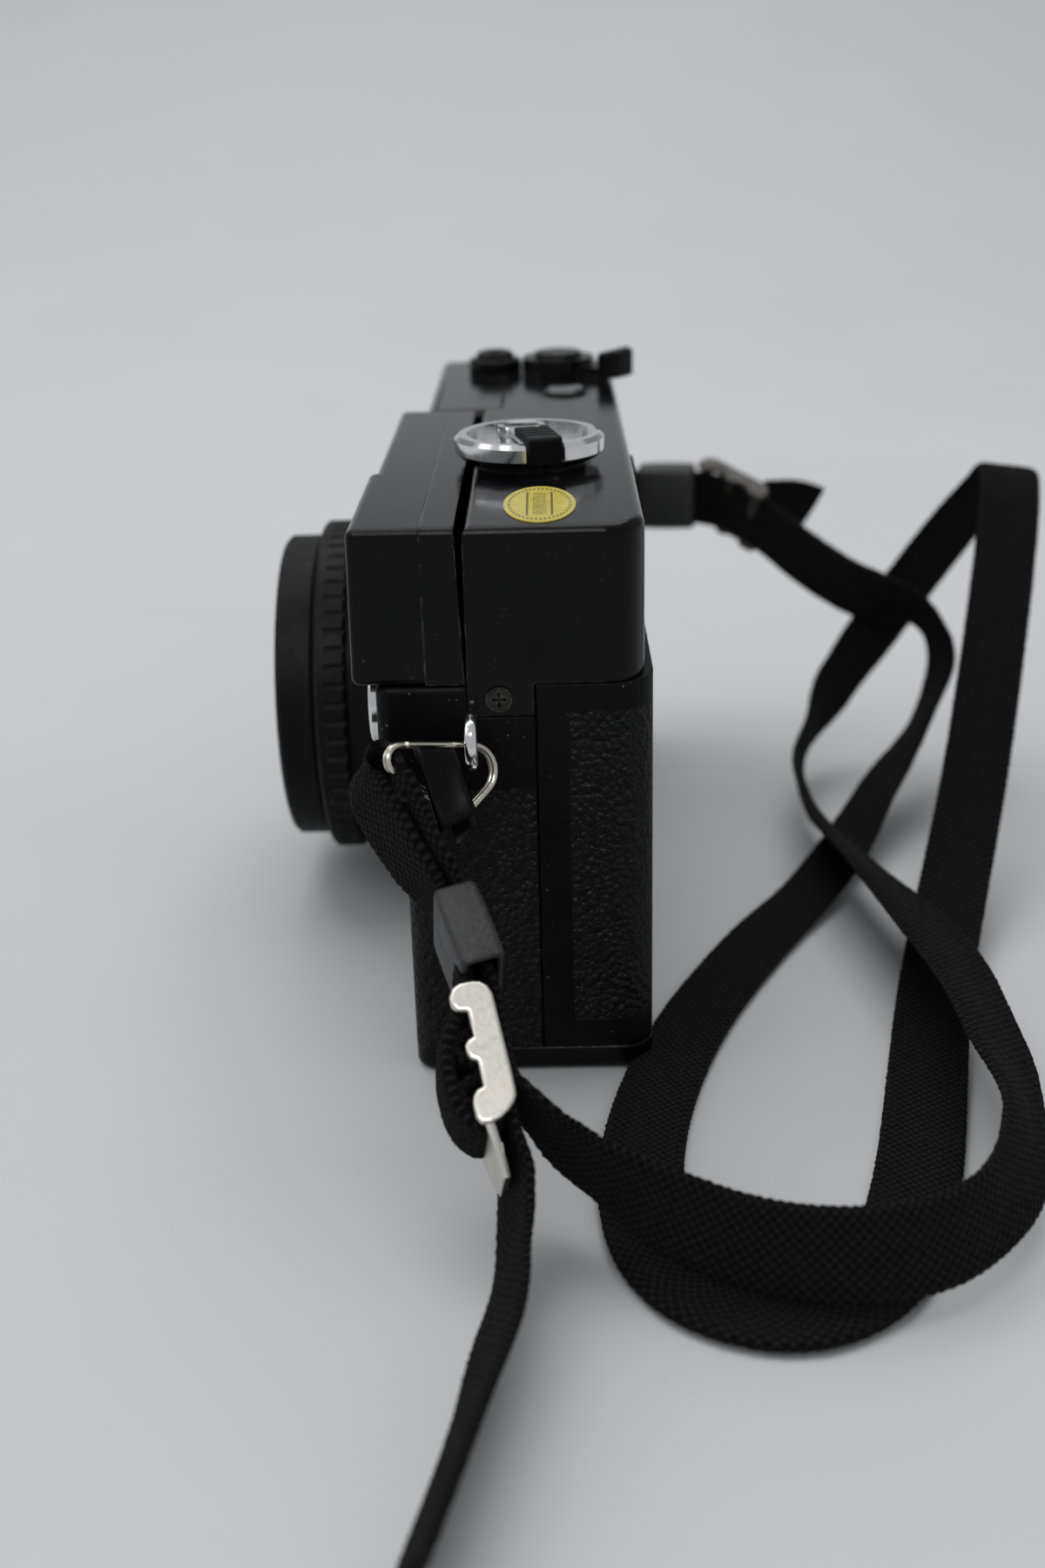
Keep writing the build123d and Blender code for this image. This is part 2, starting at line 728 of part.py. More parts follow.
def blade_outline(side):
    """Arm that hangs from its pivot and covers one half of the aperture."""
    Circle(blade_lobe)
    with Locations((side * -0.5, 0)):
        Rectangle(
            2 * blade_lobe,
            2 * blade_lobe + 1,
            align=(Align.MAX if side > 0 else Align.MIN, Align.CENTER),
            mode=Mode.SUBTRACT,
        )
    with Locations((side * blade_pivot_x, blade_pivot_z / 2 + 1.5)):
        Rectangle(2.6, blade_pivot_z - 3.0)
    with Locations((side * blade_pivot_x, blade_pivot_z)):
        Circle(1.6)
        Circle(0.8 + running, mode=Mode.SUBTRACT)


with BuildPart() as shutter_blade_a:
    with BuildSketch(shutter_centre.offset(0.03)):
        blade_outline(1)
    extrude(amount=blade_thickness)
shutter_blade_a.part.label = "shutter_blade_a"
export_step(shutter_blade_a.part, "parts/shutter_blade_a.step")

with BuildPart() as shutter_blade_b:
    with BuildSketch(shutter_centre.offset(2 * 0.03 + blade_thickness)):
        blade_outline(-1)
    extrude(amount=blade_thickness)
shutter_blade_b.part.label = "shutter_blade_b"
export_step(shutter_blade_b.part, "parts/shutter_blade_b.step")


# Sprocket: two toothed bands on one shaft
with BuildPart() as sprocket:
    with BuildSketch(Plane.XY.offset(takeup_floor + 0.3)):
        with Locations((sprocket_x, sprocket_y)):
            Circle(4.2)
    extrude(amount=chamber_ceiling - takeup_floor - 0.6)
    with BuildSketch(Plane.XY.offset(base_height + 0.6)):
        with Locations((sprocket_x, sprocket_y)):
            Circle(2.0)
    extrude(amount=chassis_top - base_height + 1.0)
    for band_z in (lens_z - perforation_pitch / 2, lens_z + perforation_pitch / 2):
        with BuildSketch(Plane.XY.offset(band_z - 1.3)):
            with Locations((sprocket_x, sprocket_y)):
                Circle(sprocket_radius)
        extrude(amount=2.6)
        with BuildSketch(Plane.XY.offset(band_z - 0.8)):
            with Locations((sprocket_x, sprocket_y)):
                with PolarLocations(sprocket_radius - 0.3, sprocket_teeth):
                    Trapezoid(1.3, 1.1, 75, rotation=-90, align=(Align.CENTER, Align.MIN))
        extrude(amount=1.6)
sprocket.part.label = "sprocket"
export_step(sprocket.part, "parts/sprocket.step")

# Take-up spool with film slots and two flanges
with BuildPart() as take_up_spool:
    with BuildSketch(vertical_profile(takeup_x, spindle_y)):
        Polygon(
            (0, base_height + 0.6),
            (3.0, base_height + 0.6),
            (3.0, takeup_floor + 0.3),
            (takeup_radius - 0.9, takeup_floor + 0.3),
            (takeup_radius - 0.9, takeup_floor + 1.3),
            (spool_radius, takeup_floor + 1.8),
            (spool_radius, chamber_ceiling - 1.8),
            (takeup_radius - 0.9, chamber_ceiling - 1.3),
            (takeup_radius - 0.9, chamber_ceiling - 0.3),
            (3.0, chamber_ceiling - 0.3),
            (3.0, seam_z + 2.0),
            (0, seam_z + 2.0),
            align=None,
        )
    revolve(axis=vertical_axis(takeup_x, spindle_y))
    with BuildSketch(Plane.XY.offset(takeup_floor + 4.0)):
        with Locations((takeup_x, spindle_y)):
            with PolarLocations(spool_radius, 6):
                Rectangle(4.0, 1.2)
    extrude(amount=chamber_ceiling - takeup_floor - 8.0, mode=Mode.SUBTRACT)
take_up_spool.part.label = "take_up_spool"
export_step(take_up_spool.part, "parts/take_up_spool.step")

# Two round cells, one each way up, and their contacts
cell_bottom = door_plate + 1.0
cell_nub = 1.2
cell_places = ((cell_x, cell_front_y), (cell_x, cell_back_y))
with BuildPart() as battery_cells:
    with BuildSketch(Plane.XY.offset(cell_bottom)):
        with Locations(cell_places[0]):
            Circle(cell_radius)
    extrude(amount=cell_length - cell_nub)
    with BuildSketch(Plane.XY.offset(cell_bottom + cell_length - cell_nub)):
        with Locations(cell_places[0]):
            Circle(2.7)
    extrude(amount=cell_nub)
    with BuildSketch(Plane.XY.offset(cell_bottom + cell_nub)):
        with Locations(cell_places[1]):
            Circle(cell_radius)
    extrude(amount=cell_length - cell_nub)
    with BuildSketch(Plane.XY.offset(cell_bottom)):
        with Locations(cell_places[1]):
            Circle(2.7)
    extrude(amount=cell_nub)
battery_cells.part.label = "battery_cells"
export_step(battery_cells.part, "parts/battery_cells.step")

bay_top = base_height + cell_length + 0.5
with BuildPart() as battery_contacts:
    with BuildSketch(Plane.XY.offset(bay_top)):
        with Locations(*cell_places):
            Rectangle(7.0, 7.0)
    extrude(amount=-0.4)
    with BuildSketch(Plane.XY.offset(bay_top - 0.4)):
        with Locations(*cell_places):
            Circle(2.0)
    extrude(amount=cell_bottom + cell_length - bay_top + 0.45)
battery_contacts.part.label = "battery_contacts"
export_step(battery_contacts.part, "parts/battery_contacts.step")

# Battery door in the base, its contact strip and its hinge pin
with BuildPart() as battery_door:
    with BuildSketch(Plane.XZ.offset(-door_y)):
        with Locations((door_hinge_x, 0)):
            Rectangle(door_width + 0.4, door_plate, align=Align.MIN)
        with Locations((door_hinge_x, door_knuckle)):
            Circle(door_knuckle)
    extrude(amount=door_depth / 2 - slide_gap, both=True)
    with BuildSketch(Plane.XZ.offset(-door_y)):
        with Locations((door_hinge_x, door_knuckle)):
            Circle(0.4 + running)
    extrude(amount=door_depth, both=True, mode=Mode.SUBTRACT)
    # Finger groove
    with BuildSketch():
        with Locations((cell_x + 5.0, door_y)):
            RectangleRounded(1.6, 14.0, 0.7)
    extrude(amount=0.6, mode=Mode.SUBTRACT)
battery_door.part.label = "battery_door"
export_step(battery_door.part, "parts/battery_door.step")

with BuildPart() as door_contact:
    with BuildSketch(Plane.XY.offset(door_plate)):
        with Locations((cell_x, door_y)):
            RectangleRounded(7.0, 21.0, 1.5)
    extrude(amount=0.9)
door_contact.part.label = "door_contact"
export_step(door_contact.part, "parts/door_contact.step")

with BuildPart() as battery_door_pin:
    with BuildSketch(Plane.XZ.offset(-door_y)):
        with Locations((door_hinge_x, door_knuckle)):
            Circle(0.4)
    extrude(amount=door_depth / 2 + 0.7, both=True)
battery_door_pin.part.label = "battery_door_pin"
export_step(battery_door_pin.part, "parts/battery_door_pin.step")

# Rewind release button in the base
with BuildPart() as rewind_release:
    with BuildSketch(vertical_profile(release_x, release_y)):
        Polygon(
            (0, 0.4),
            (release_radius - 0.4, 0.4),
            (release_radius, 0.8),
            (release_radius, 2.25),
            (release_radius + 0.9, 2.25),
            (release_radius + 0.9, 2.7),
            (0, 2.7),
            align=None,
        )
    revolve(axis=vertical_axis(release_x, release_y))
rewind_release.part.label = "rewind_release"
export_step(rewind_release.part, "parts/rewind_release.step")

# Hinge pin of the back door
with BuildPart() as hinge_pin:
    with BuildSketch(Plane.XY.offset(base_height)):
        with Locations((hinge_x, hinge_y)):
            Circle(hinge_pin_radius - running)
    extrude(amount=chassis_top - base_height - seam)
hinge_pin.part.label = "hinge_pin"
export_step(hinge_pin.part, "parts/hinge_pin.step")

# Back door: a leaf that wraps round the rewind end, with one long knuckle at the other
leaf_x = hinge_x + knuckle_radius + 0.5
leaf_inner = back_y - door_wall
panel_z0 = 7.9
panel_z1 = 52.2
panel_edge_y = 5.5
panel_far_x = -53.0
with BuildPart() as back_door:
    with BuildSketch(Plane.XY.offset(base_height + seam)) as plan:
        with Locations((leaf_x, door_edge_y + seam)):
            Rectangle(half - leaf_x, back_y - door_edge_y - seam, align=Align.MIN)
        fillet(plan.vertices().sort_by(Axis.X)[-2:].sort_by(Axis.Y)[-1], back_corner)
    extrude(amount=chassis_top - base_height - seam)
    # Inside of the leaf
    with BuildSketch(Plane.XY.offset(base_height)) as hollow:
        with Locations((leaf_x - 1.0, 0)):
            Rectangle(half - door_wall - leaf_x + 1.0, leaf_inner, align=Align.MIN)
        fillet(hollow.vertices().sort_by(Axis.X)[-2:].sort_by(Axis.Y)[-1], back_corner - door_wall)
    extrude(amount=height, mode=Mode.SUBTRACT)
    # Recess for the covering
    with BuildSketch(Plane.XY.offset(panel_z0)) as recess:
        Polygon(
            (half + 1.0, panel_edge_y),
            (half + 1.0, back_y + 1.0),
            (panel_far_x, back_y + 1.0),
            (panel_far_x, back_y - skin),
            (half - skin, back_y - skin),
            (half - skin, panel_edge_y),
            align=None,
        )
        inner = recess.vertices().filter_by_position(Axis.X, half - skin - 0.1, half - skin + 0.1)
        fillet(inner.sort_by(Axis.Y)[-1], back_corner - skin)
    extrude(amount=panel_z1 - panel_z0, mode=Mode.SUBTRACT)
    # Long knuckle between the chassis's two
    with BuildSketch(Plane.XY.offset(base_height + knuckle_length + seam)):
        with Locations((hinge_x, hinge_y)):
            Circle(knuckle_radius)
        with Locations((hinge_x, leaf_inner)):
            Rectangle(leaf_x - hinge_x + 1.0, hinge_y + knuckle_radius - leaf_inner - 0.05, align=Align.MIN)
        with Locations((hinge_x, hinge_y)):
            Circle(hinge_pin_radius, mode=Mode.SUBTRACT)
    extrude(amount=chassis_top - base_height - 2 * knuckle_length - 2 * seam)
back_door.part.label = "back_door"
export_step(back_door.part, "parts/back_door.step")

with BuildPart() as door_leatherette:
    with BuildSketch(Plane.XY.offset(panel_z0)) as plan:
        with Locations((panel_far_x, panel_edge_y)):
            Rectangle(half - panel_far_x, back_y - panel_edge_y, align=Align.MIN)
        fillet(plan.vertices().sort_by(Axis.X)[-2:].sort_by(Axis.Y)[-1], back_corner)
    extrude(amount=panel_z1 - panel_z0)
    with BuildSketch(Plane.XY.offset(base_height)) as hollow:
        with Locations((panel_far_x - 1.0, 0)):
            Rectangle(half - skin - panel_far_x + 1.0, back_y - skin, align=Align.MIN)
        fillet(hollow.vertices().sort_by(Axis.X)[-2:].sort_by(Axis.Y)[-1], back_corner - skin)
    extrude(amount=height, mode=Mode.SUBTRACT)
door_leatherette.part.label = "door_leatherette"
export_step(door_leatherette.part, "parts/door_leatherette.step")

# Pressure plate behind the film, and the bowed leaf spring that carries it
plate_gap = 0.2
plate_thickness = 1.0
plate_travel = 0.5
plate_back = film_y + plate_gap + plate_thickness
with BuildPart() as pressure_plate:
    with BuildSketch(Plane.XZ.offset(-film_y - plate_gap)):
        with Locations((lens_x, lens_z)):
            RectangleRounded(gate_width + 4.0, film_width - 0.4, 2.0)
    extrude(amount=-plate_thickness)
pressure_plate.part.label = "pressure_plate"
export_step(pressure_plate.part, "parts/pressure_plate.step")

spring_thickness = 0.3
spring_half = 14.0
with BuildPart() as pressure_spring:
    with BuildSketch(Plane.XY.offset(lens_z - 5.0)):
        with BuildLine():
            low = plate_back + 0.02
            ThreePointArc((lens_x - spring_half, low), (lens_x, leaf_inner), (lens_x + spring_half, low))
            Line((lens_x + spring_half, low), (lens_x + spring_half - 1.6, low))
            ThreePointArc(
                (lens_x + spring_half - 1.6, low),
                (lens_x, leaf_inner - spring_thickness),
                (lens_x - spring_half + 1.6, low),
            )
            Line((lens_x - spring_half + 1.6, low), (lens_x - spring_half, low))
        make_face()
    extrude(amount=10.0)
pressure_spring.part.label = "pressure_spring"
export_step(pressure_spring.part, "parts/pressure_spring.step")

# Foam light seals in the chassis grooves
seal_length = 2 * cassette_x + 2 * cassette_radius + 10
with BuildPart() as light_seals:
    with BuildSketch(Plane.XZ.offset(1.2 - chassis_back)):
        with Locations((0, chamber_ceiling - 2.0), (0, cassette_floor - 1.5)):
            Rectangle(seal_length - 0.4, 1.0)
    extrude(amount=-1.1)
light_seals.part.label = "light_seals"
export_step(light_seals.part, "parts/light_seals.step")

# Rewind crank: sleeve and knob lift together, the knob turns in the sleeve, the crank folds out
knob_bottom = height + 1.0
knob_top = knob_bottom + 3.2
knob_floor = knob_top - 1.2
rewind_lift = 6.0
crank_angle = 13.0
crank_pivot = -5.2
grip_width = 4.6
grip_start = 1.0
grip_block = 6.85
grip_end = knob_radius - 0.2
arm_thickness = 0.8
ear_offset = 2.9
crank_axis_z = knob_floor + 0.6
with BuildPart() as rewind_sleeve:
    with BuildSketch(Plane.XY.offset(height - 9.0)):
        with Locations((cassette_x, knob_y)):
            Circle(sleeve_outer)
            Circle(3.0 + running, mode=Mode.SUBTRACT)
    extrude(amount=knob_bottom - height + 9.0)
rewind_sleeve.part.label = "rewind_sleeve"
export_step(rewind_sleeve.part, "parts/rewind_sleeve.step")

fork_bottom = chamber_ceiling - 6.0
with BuildPart() as rewind_shaft:
    with BuildSketch(Plane.XY.offset(fork_bottom)):
        with Locations((cassette_x, knob_y)):
            Circle(3.0)
    extrude(amount=knob_bottom - fork_bottom)
    # The fork that turns the cassette's spool
    with BuildSketch(Plane.XY.offset(fork_bottom)):
        with Locations((cassette_x, knob_y)):
            Rectangle(2.2, 8.0)
    extrude(amount=4.0, mode=Mode.SUBTRACT)
rewind_shaft.part.label = "rewind_shaft"
export_step(rewind_shaft.part, "parts/rewind_shaft.step")

crank_plane = Plane(
    (cassette_x, knob_y, 0),
    x_dir=(cos(radians(crank_angle)), sin(radians(crank_angle)), 0),
    z_dir=(0, 0, 1),
)
crank_upright = Plane(crank_plane.origin, x_dir=crank_plane.x_dir, z_dir=-crank_plane.y_dir)
with BuildPart() as rewind_knob:
    with BuildSketch(vertical_profile(cassette_x, knob_y)):
        Polygon(
            (0, knob_bottom),
            (knob_radius - 0.9, knob_bottom),
            (knob_radius, knob_bottom + 0.9),
            (knob_radius, knob_top - 0.6),
            (knob_radius - 0.6, knob_top),
            (knob_radius - 1.8, knob_top),
            (knob_radius - 1.8, knob_floor),
            (0, knob_floor),
            align=None,
        )
    revolve(axis=vertical_axis(cassette_x, knob_y))
    # Notches in the rim for the grip and for a fingertip
    with BuildSketch(crank_plane.offset(knob_bottom)):
        with Locations((knob_radius - 1.6, 0)):
            Rectangle(5.0, grip_width + 0.8)
        with Locations((0, knob_radius + 0.4)):
            Circle(2.4)
    extrude(amount=knob_top, mode=Mode.SUBTRACT)
    # Ears for the crank's pivot
    with BuildSketch(crank_plane.offset(knob_floor)):
        with Locations((crank_pivot, -ear_offset), (crank_pivot, ear_offset)):
            Rectangle(2.0, 0.9)
    extrude(amount=1.3)
    with BuildSketch(crank_upright):
        with Locations((crank_pivot, crank_axis_z)):
            Circle(0.4 + running)
    extrude(amount=ear_offset + 1.0, both=True, mode=Mode.SUBTRACT)
rewind_knob.part.label = "rewind_knob"
export_step(rewind_knob.part, "parts/rewind_knob.step")

with BuildPart() as rewind_crank:
    with BuildSketch(crank_plane.offset(crank_axis_z - arm_thickness / 2)):
        with Locations((crank_pivot, 0)):
            Rectangle(grip_block - 0.05 - crank_pivot, grip_width - 0.4, align=(Align.MIN, Align.CENTER))
    extrude(amount=arm_thickness)
    with BuildSketch(crank_upright):
        with Locations((crank_pivot, crank_axis_z)):
            Circle(arm_thickness / 2)
    extrude(amount=grip_width / 2 - 0.2, both=True)
    with BuildSketch(crank_upright):
        with Locations((crank_pivot, crank_axis_z)):
            Circle(0.4)
    extrude(amount=ear_offset + 0.5, both=True)
rewind_crank.part.label = "rewind_crank"
export_step(rewind_crank.part, "parts/rewind_crank.step")

grip_top = crank_axis_z + arm_thickness / 2 + 1.2
with BuildPart() as crank_grip:
    with BuildSketch(crank_upright) as section:
        Polygon(
            (grip_start, crank_axis_z + arm_thickness / 2),
            (grip_block, crank_axis_z + arm_thickness / 2),
            (grip_block, knob_bottom + 0.4),
            (grip_end, knob_bottom + 0.4),
            (grip_end, grip_top),
            (grip_start, grip_top),
            align=None,
        )
        fillet(section.vertices().group_by(Axis.Y)[-1], 0.5)
    extrude(amount=grip_width / 2, both=True)
    # Finger ribs across the top
    with BuildSketch(crank_upright):
        for step in range(4):
            with Locations((grip_start + 1.6 + 1.7 * step, grip_top)):
                Circle(0.3)
    extrude(amount=grip_width, both=True, mode=Mode.SUBTRACT)
crank_grip.part.label = "crank_grip"
export_step(crank_grip.part, "parts/crank_grip.step")

# Wind lever: hub on a shaft through the top cover, arm and moulded thumb tip
hub_radius = 6.6
hub_height = 2.6
arm_width = 5.0
tip_length = 9.0
lever_plane = Plane(
    (lever_x, lever_y, 0),
    x_dir=(cos(radians(lever_angle)), sin(radians(lever_angle)), 0),
    z_dir=(0, 0, 1),
)
hub_bottom = height + plate_clearance
with BuildPart() as wind_lever:
    with BuildSketch(lever_plane.offset(hub_bottom)) as plan:
        Circle(hub_radius)
    extrude(amount=hub_height, taper=4)
    with BuildSketch(lever_plane.offset(hub_bottom)):
        with Locations((0, 0)):
            Rectangle(lever_reach - 1.0, arm_width, align=(Align.MIN, Align.CENTER))
    extrude(amount=1.6)
    with BuildSketch(lever_plane.offset(height - 10.0)):
        Circle(3.0)
    extrude(amount=10.0 + plate_clearance)
    # Cap that hides the screw
    with BuildSketch(lever_plane.offset(hub_bottom + hub_height)):
        Circle(hub_radius - 2.2)
    extrude(amount=0.9, taper=20)
wind_lever.part.label = "wind_lever"
export_step(wind_lever.part, "parts/wind_lever.step")

with BuildPart() as wind_lever_tip:
    with BuildSketch(lever_plane.offset(hub_bottom)):
        with Locations((lever_reach - 1.0, 0)):
            SlotOverall(tip_length, arm_width + 1.0, rotation=90)
        with Locations((0, 0)):
            Rectangle(lever_reach - 1.0, 3 * tip_length, align=(Align.MIN, Align.CENTER), mode=Mode.SUBTRACT)
    extrude(amount=4.6)
    fillet(wind_lever_tip.faces().sort_by(Axis.Z)[-1].edges(), 0.8)
wind_lever_tip.part.label = "wind_lever_tip"
export_step(wind_lever_tip.part, "parts/wind_lever_tip.step")

# Shutter button in its collar
collar_radius = 4.75
with BuildPart() as shutter_collar:
    with BuildSketch(Plane.XY.offset(height)):
        with Locations((button_x, button_y)):
            Circle(collar_radius)
            Circle(button_radius + running, mode=Mode.SUBTRACT)
    extrude(amount=2.6)
    fillet(shutter_collar.faces().sort_by(Axis.Z)[-1].edges().sort_by(SortBy.RADIUS)[-1], 0.7)
shutter_collar.part.label = "shutter_collar"
export_step(shutter_collar.part, "parts/shutter_collar.step")

button_top = height + 3.8
with BuildPart() as shutter_button:
    with BuildSketch(vertical_profile(button_x, button_y)):
        Polygon(
            (0, height - 8.0),
            (1.5, height - 8.0),
            (1.5, height + button_travel + 0.2),
            (button_radius, height + button_travel + 0.2),
            (button_radius, button_top - 0.5),
            (button_radius - 0.6, button_top),
            (1.3, button_top - 0.3),
            (1.0, button_top - 1.8),
            (0, button_top - 1.8),
            align=None,
        )
    revolve(axis=vertical_axis(button_x, button_y))
shutter_button.part.label = "shutter_button"
export_step(shutter_button.part, "parts/shutter_button.step")

# Frame counter under a round window
counter_x = -28.0
counter_y = 6.5
with BuildPart() as counter_window:
    with BuildSketch(vertical_profile(counter_x, counter_y)):
        Polygon((0, height), (3.6, height), (3.6, height + 0.4), (2.9, height + 0.9), (0, height + 0.9), align=None)
    revolve(axis=vertical_axis(counter_x, counter_y))
counter_window.part.label = "counter_window"
export_step(counter_window.part, "parts/counter_window.step")

# Bare oval sticker on the top cover
with BuildPart() as oval_sticker:
    with BuildSketch(Plane.XY.offset(height)):
        with Locations((54.4, 2.2)):
            Ellipse(9.8, 4.6)
    extrude(amount=0.15)
oval_sticker.part.label = "oval_sticker"
export_step(oval_sticker.part, "parts/oval_sticker.step")

# Self-timer lever, turning on a short pin
with BuildPart() as self_timer_lever:
    with BuildSketch(Plane.XZ.offset(-panel_front + running)) as outline:
        with Locations((timer_x, timer_z)):
            Circle(timer_radius)
        with Locations((timer_x, timer_z)):
            Rectangle(timer_reach - 1.8, 3.6, align=(Align.MAX, Align.CENTER))
        with Locations((timer_x - timer_reach + 1.8, timer_z)):
            Circle(1.8)
    extrude(amount=timer_thickness)
    fillet(self_timer_lever.faces().sort_by(Axis.Y)[0].edges(), 0.4)
    with BuildSketch(Plane.XZ.offset(-panel_front + running)):
        with Locations((timer_x, timer_z)):
            Circle(1.0)
    extrude(amount=-2.0)
self_timer_lever.part.label = "self_timer_lever"
export_step(self_timer_lever.part, "parts/self_timer_lever.step")

# Flash: a head that pops up out of the top cover, its window, reflector and tube
flash_width = flash_right - flash_left
flash_x = (flash_left + flash_right) / 2
flash_front_y = front_y + cover_wall + slide_gap
flash_window_z = height - 9.0
with BuildPart() as flash_head:
    with BuildSketch(Plane.XY.offset(flash_bottom)):
        with Locations((flash_left, flash_front_y)):
            Rectangle(flash_width, flash_back_y - flash_front_y, align=Align.MIN)
    extrude(amount=height - flash_bottom)
    fillet(flash_head.edges().filter_by(Axis.Z), 0.5)
    with BuildSketch(Plane.XZ.offset(-flash_front_y)):
        with Locations((flash_x, flash_window_z)):
            RectangleRounded(flash_width - 3.6, 11.0, 1.0)
    extrude(amount=-6.0, mode=Mode.SUBTRACT)
flash_head.part.label = "flash_head"
export_step(flash_head.part, "parts/flash_head.step")

with BuildPart() as flash_window:
    with BuildSketch(Plane.XZ.offset(-flash_front_y)):
        with Locations((flash_x, flash_window_z)):
            RectangleRounded(flash_width - 3.6, 11.0, 1.0)
    extrude(amount=-1.2)
flash_window.part.label = "flash_window"
export_step(flash_window.part, "parts/flash_window.step")

with BuildPart() as flash_reflector:
    with BuildSketch(Plane.YZ.offset(flash_x - flash_width / 2 + 2.5)):
        Polygon(
            (flash_front_y + 1.2, flash_window_z - 5.0),
            (flash_front_y + 6.0, flash_window_z - 5.0),
            (flash_front_y + 6.0, flash_window_z + 5.0),
            (flash_front_y + 1.2, flash_window_z + 5.0),
            (flash_front_y + 3.2, flash_window_z + 3.8),
            (flash_front_y + 4.9, flash_window_z + 1.8),
            (flash_front_y + 5.3, flash_window_z),
            (flash_front_y + 4.9, flash_window_z - 1.8),
            (flash_front_y + 3.2, flash_window_z - 3.8),
            align=None,
        )
    extrude(amount=flash_width - 5.0)
flash_reflector.part.label = "flash_reflector"
export_step(flash_reflector.part, "parts/flash_reflector.step")

# Slider on the front of the top cover that frees the flash
with BuildPart() as flash_release:
    with BuildSketch(Plane.XZ.offset(-front_y + running)) as outline:
        with Locations((release_slide_x, release_slide_z)):
            RectangleRounded(8.0, 4.4, 0.8)
    extrude(amount=1.3)
    with BuildSketch(Plane.XZ.offset(-front_y + running)):
        with Locations((release_slide_x, release_slide_z)):
            Rectangle(3.0, 1.6)
    extrude(amount=-cover_wall)
flash_release.part.label = "flash_release"
export_step(flash_release.part, "parts/flash_release.step")

# Strap rings: triangular split rings of wire, wound twice, hanging in the lugs
ring_wire = 1.0
ring_tilt = 8.0
ring_long = 10.3
ring_short = 3.7
ring_drop = 7.2
ring_bend = 1.4


def ring_plane(side, hang):
    """Plane of a ring that hangs outwards by an angle from upright; local x runs towards the back."""
    tilt = radians(ring_tilt)
    lean = radians(hang)
    return Plane(
        (side * (half + lug_reach + 0.75), lug_y, lug_z - 0.55),
        x_dir=(side * sin(tilt) * sin(lean), cos(tilt), -sin(tilt) * cos(lean)),
        z_dir=(side * cos(lean), 0, sin(lean)),
    )


ring_near = ring_plane(1, 35.0)
ring_far = ring_plane(-1, 62.0)
with BuildPart() as strap_rings:
    for plane, side, down in ((ring_near, -1, -1), (ring_far, 1, 1)):
        for turn in (-0.5, 0.5):
            with BuildLine(plane.offset(turn * ring_wire)) as loop:
                FilletPolyline(
                    (side * ring_long, 0),
                    (-side * ring_short, 0),
                    (-side * 0.2, down * ring_drop),
                    radius=ring_bend,
                    close=True,
                )
            with BuildSketch(loop.line ^ 0):
                Circle(ring_wire / 2 + 0.02)
            sweep()
strap_rings.part.label = "strap_rings"
export_step(strap_rings.part, "parts/strap_rings.step")

# Vinyl flaps behind the rings, between the metal and the body
with BuildPart() as ring_protectors:
    for plane, side, down in ((ring_near, -1, -1), (ring_far, 1, 1)):
        with BuildSketch(plane.offset(-ring_wire - 0.8)):
            Polygon(
                (side * 6.6, -down * 0.4),
                (side * 2.6, -down * 0.4),
                (-side * 1.6, down * 8.2),
                (side * 0.4, down * 11.0),
                align=None,
            )
        extrude(amount=0.6)
ring_protectors.part.label = "ring_protectors"
export_step(ring_protectors.part, "parts/ring_protectors.step")

# Strap: one band of webbing from ring to ring and its two loose tails, each as a tube of the
# same section area as the woven band
band_width = 10.5
band_thickness = 1.5
cord_diameter = round((4 * band_width * band_thickness / pi) ** 0.5, 1)


def cord_radii(points):
    """Arc radius at each corner: 0.45 of the shorter run over the tangent of half the turn."""
    radii = []
    for before, corner, after in zip(points, points[1:], points[2:]):
        run_in = Vector(*corner) - Vector(*before)
        run_out = Vector(*after) - Vector(*corner)
        half_turn = radians(run_in.get_angle(run_out)) / 2
        radii.append(0.45 * min(run_in.length, run_out.length) / tan(half_turn))
    return radii


strap_route = [
    (74.0, -14.5, 43.2),
    (79.0, -10.0, 37.2),
    (84.1, -7.6, 17.5),
    (89.0, -1.0, 12.0),
    (102.0, 6.5, 9.0),
    (114.0, 19.0, 9.0),
    (118.5, 34.0, 9.0),
    (114.5, 49.0, 9.0),
    (100.0, 59.0, 9.5),
    (76.0, 59.5, 11.0),
    (50.0, 58.0, 11.5),
    (14.0, 50.2, 9.3),
    (-14.0, 46.6, 7.0),
    (-36.0, 50.0, 8.5),
    (-46.0, 58.0, 17.0),
    (-49.5, 66.0, 27.0),
    (-50.5, 76.0, 41.0),
    (-48.5, 86.0, 55.5),
    (-37.0, 86.0, 60.0),
    (-22.0, 82.0, 47.0),
    (5.0, 73.2, 22.0),
    (24.0, 66.0, 8.0),
    (48.0, 58.0, 3.4),
    (73.0, 52.0, 2.8),
    (97.0, 46.0, 2.7),
    (114.5, 39.0, 2.7),
    (121.0, 27.0, 2.7),
    (113.0, 14.5, 2.7),
    (92.0, 12.0, 2.7),
    (63.0, 18.7, 2.7),
    (33.0, 33.0, 2.7),
    (8.0, 49.0, 2.9),
    (-14.0, 60.5, 8.0),
    (-32.0, 73.0, 16.0),
    (-39.5, 77.0, 25.5),
    (-42.0, 71.0, 33.5),
    (-46.0, 62.5, 33.5),
    (-55.0, 53.0, 38.0),
    (-64.0, 44.5, 44.0),
    (-71.8, 36.0, 47.5),
    (-74.5, 18.0, 47.3),
    (-74.8, 5.0, 46.6),
]
near_tail_route = [
    (92.3, -3.0, 3.2),
    (102.5, -2.2, 2.7),
    (113.0, -3.2, 2.4),
    (126.0, -5.2, 2.5),
    (140.0, -8.2, 2.4),
    (154.0, -12.5, 2.5),
]
far_tail_route = [
    (-67.8, 45.4, 46.4),
    (-68.7, 50.7, 46.7),
    (-69.9, 55.7, 45.3),
]
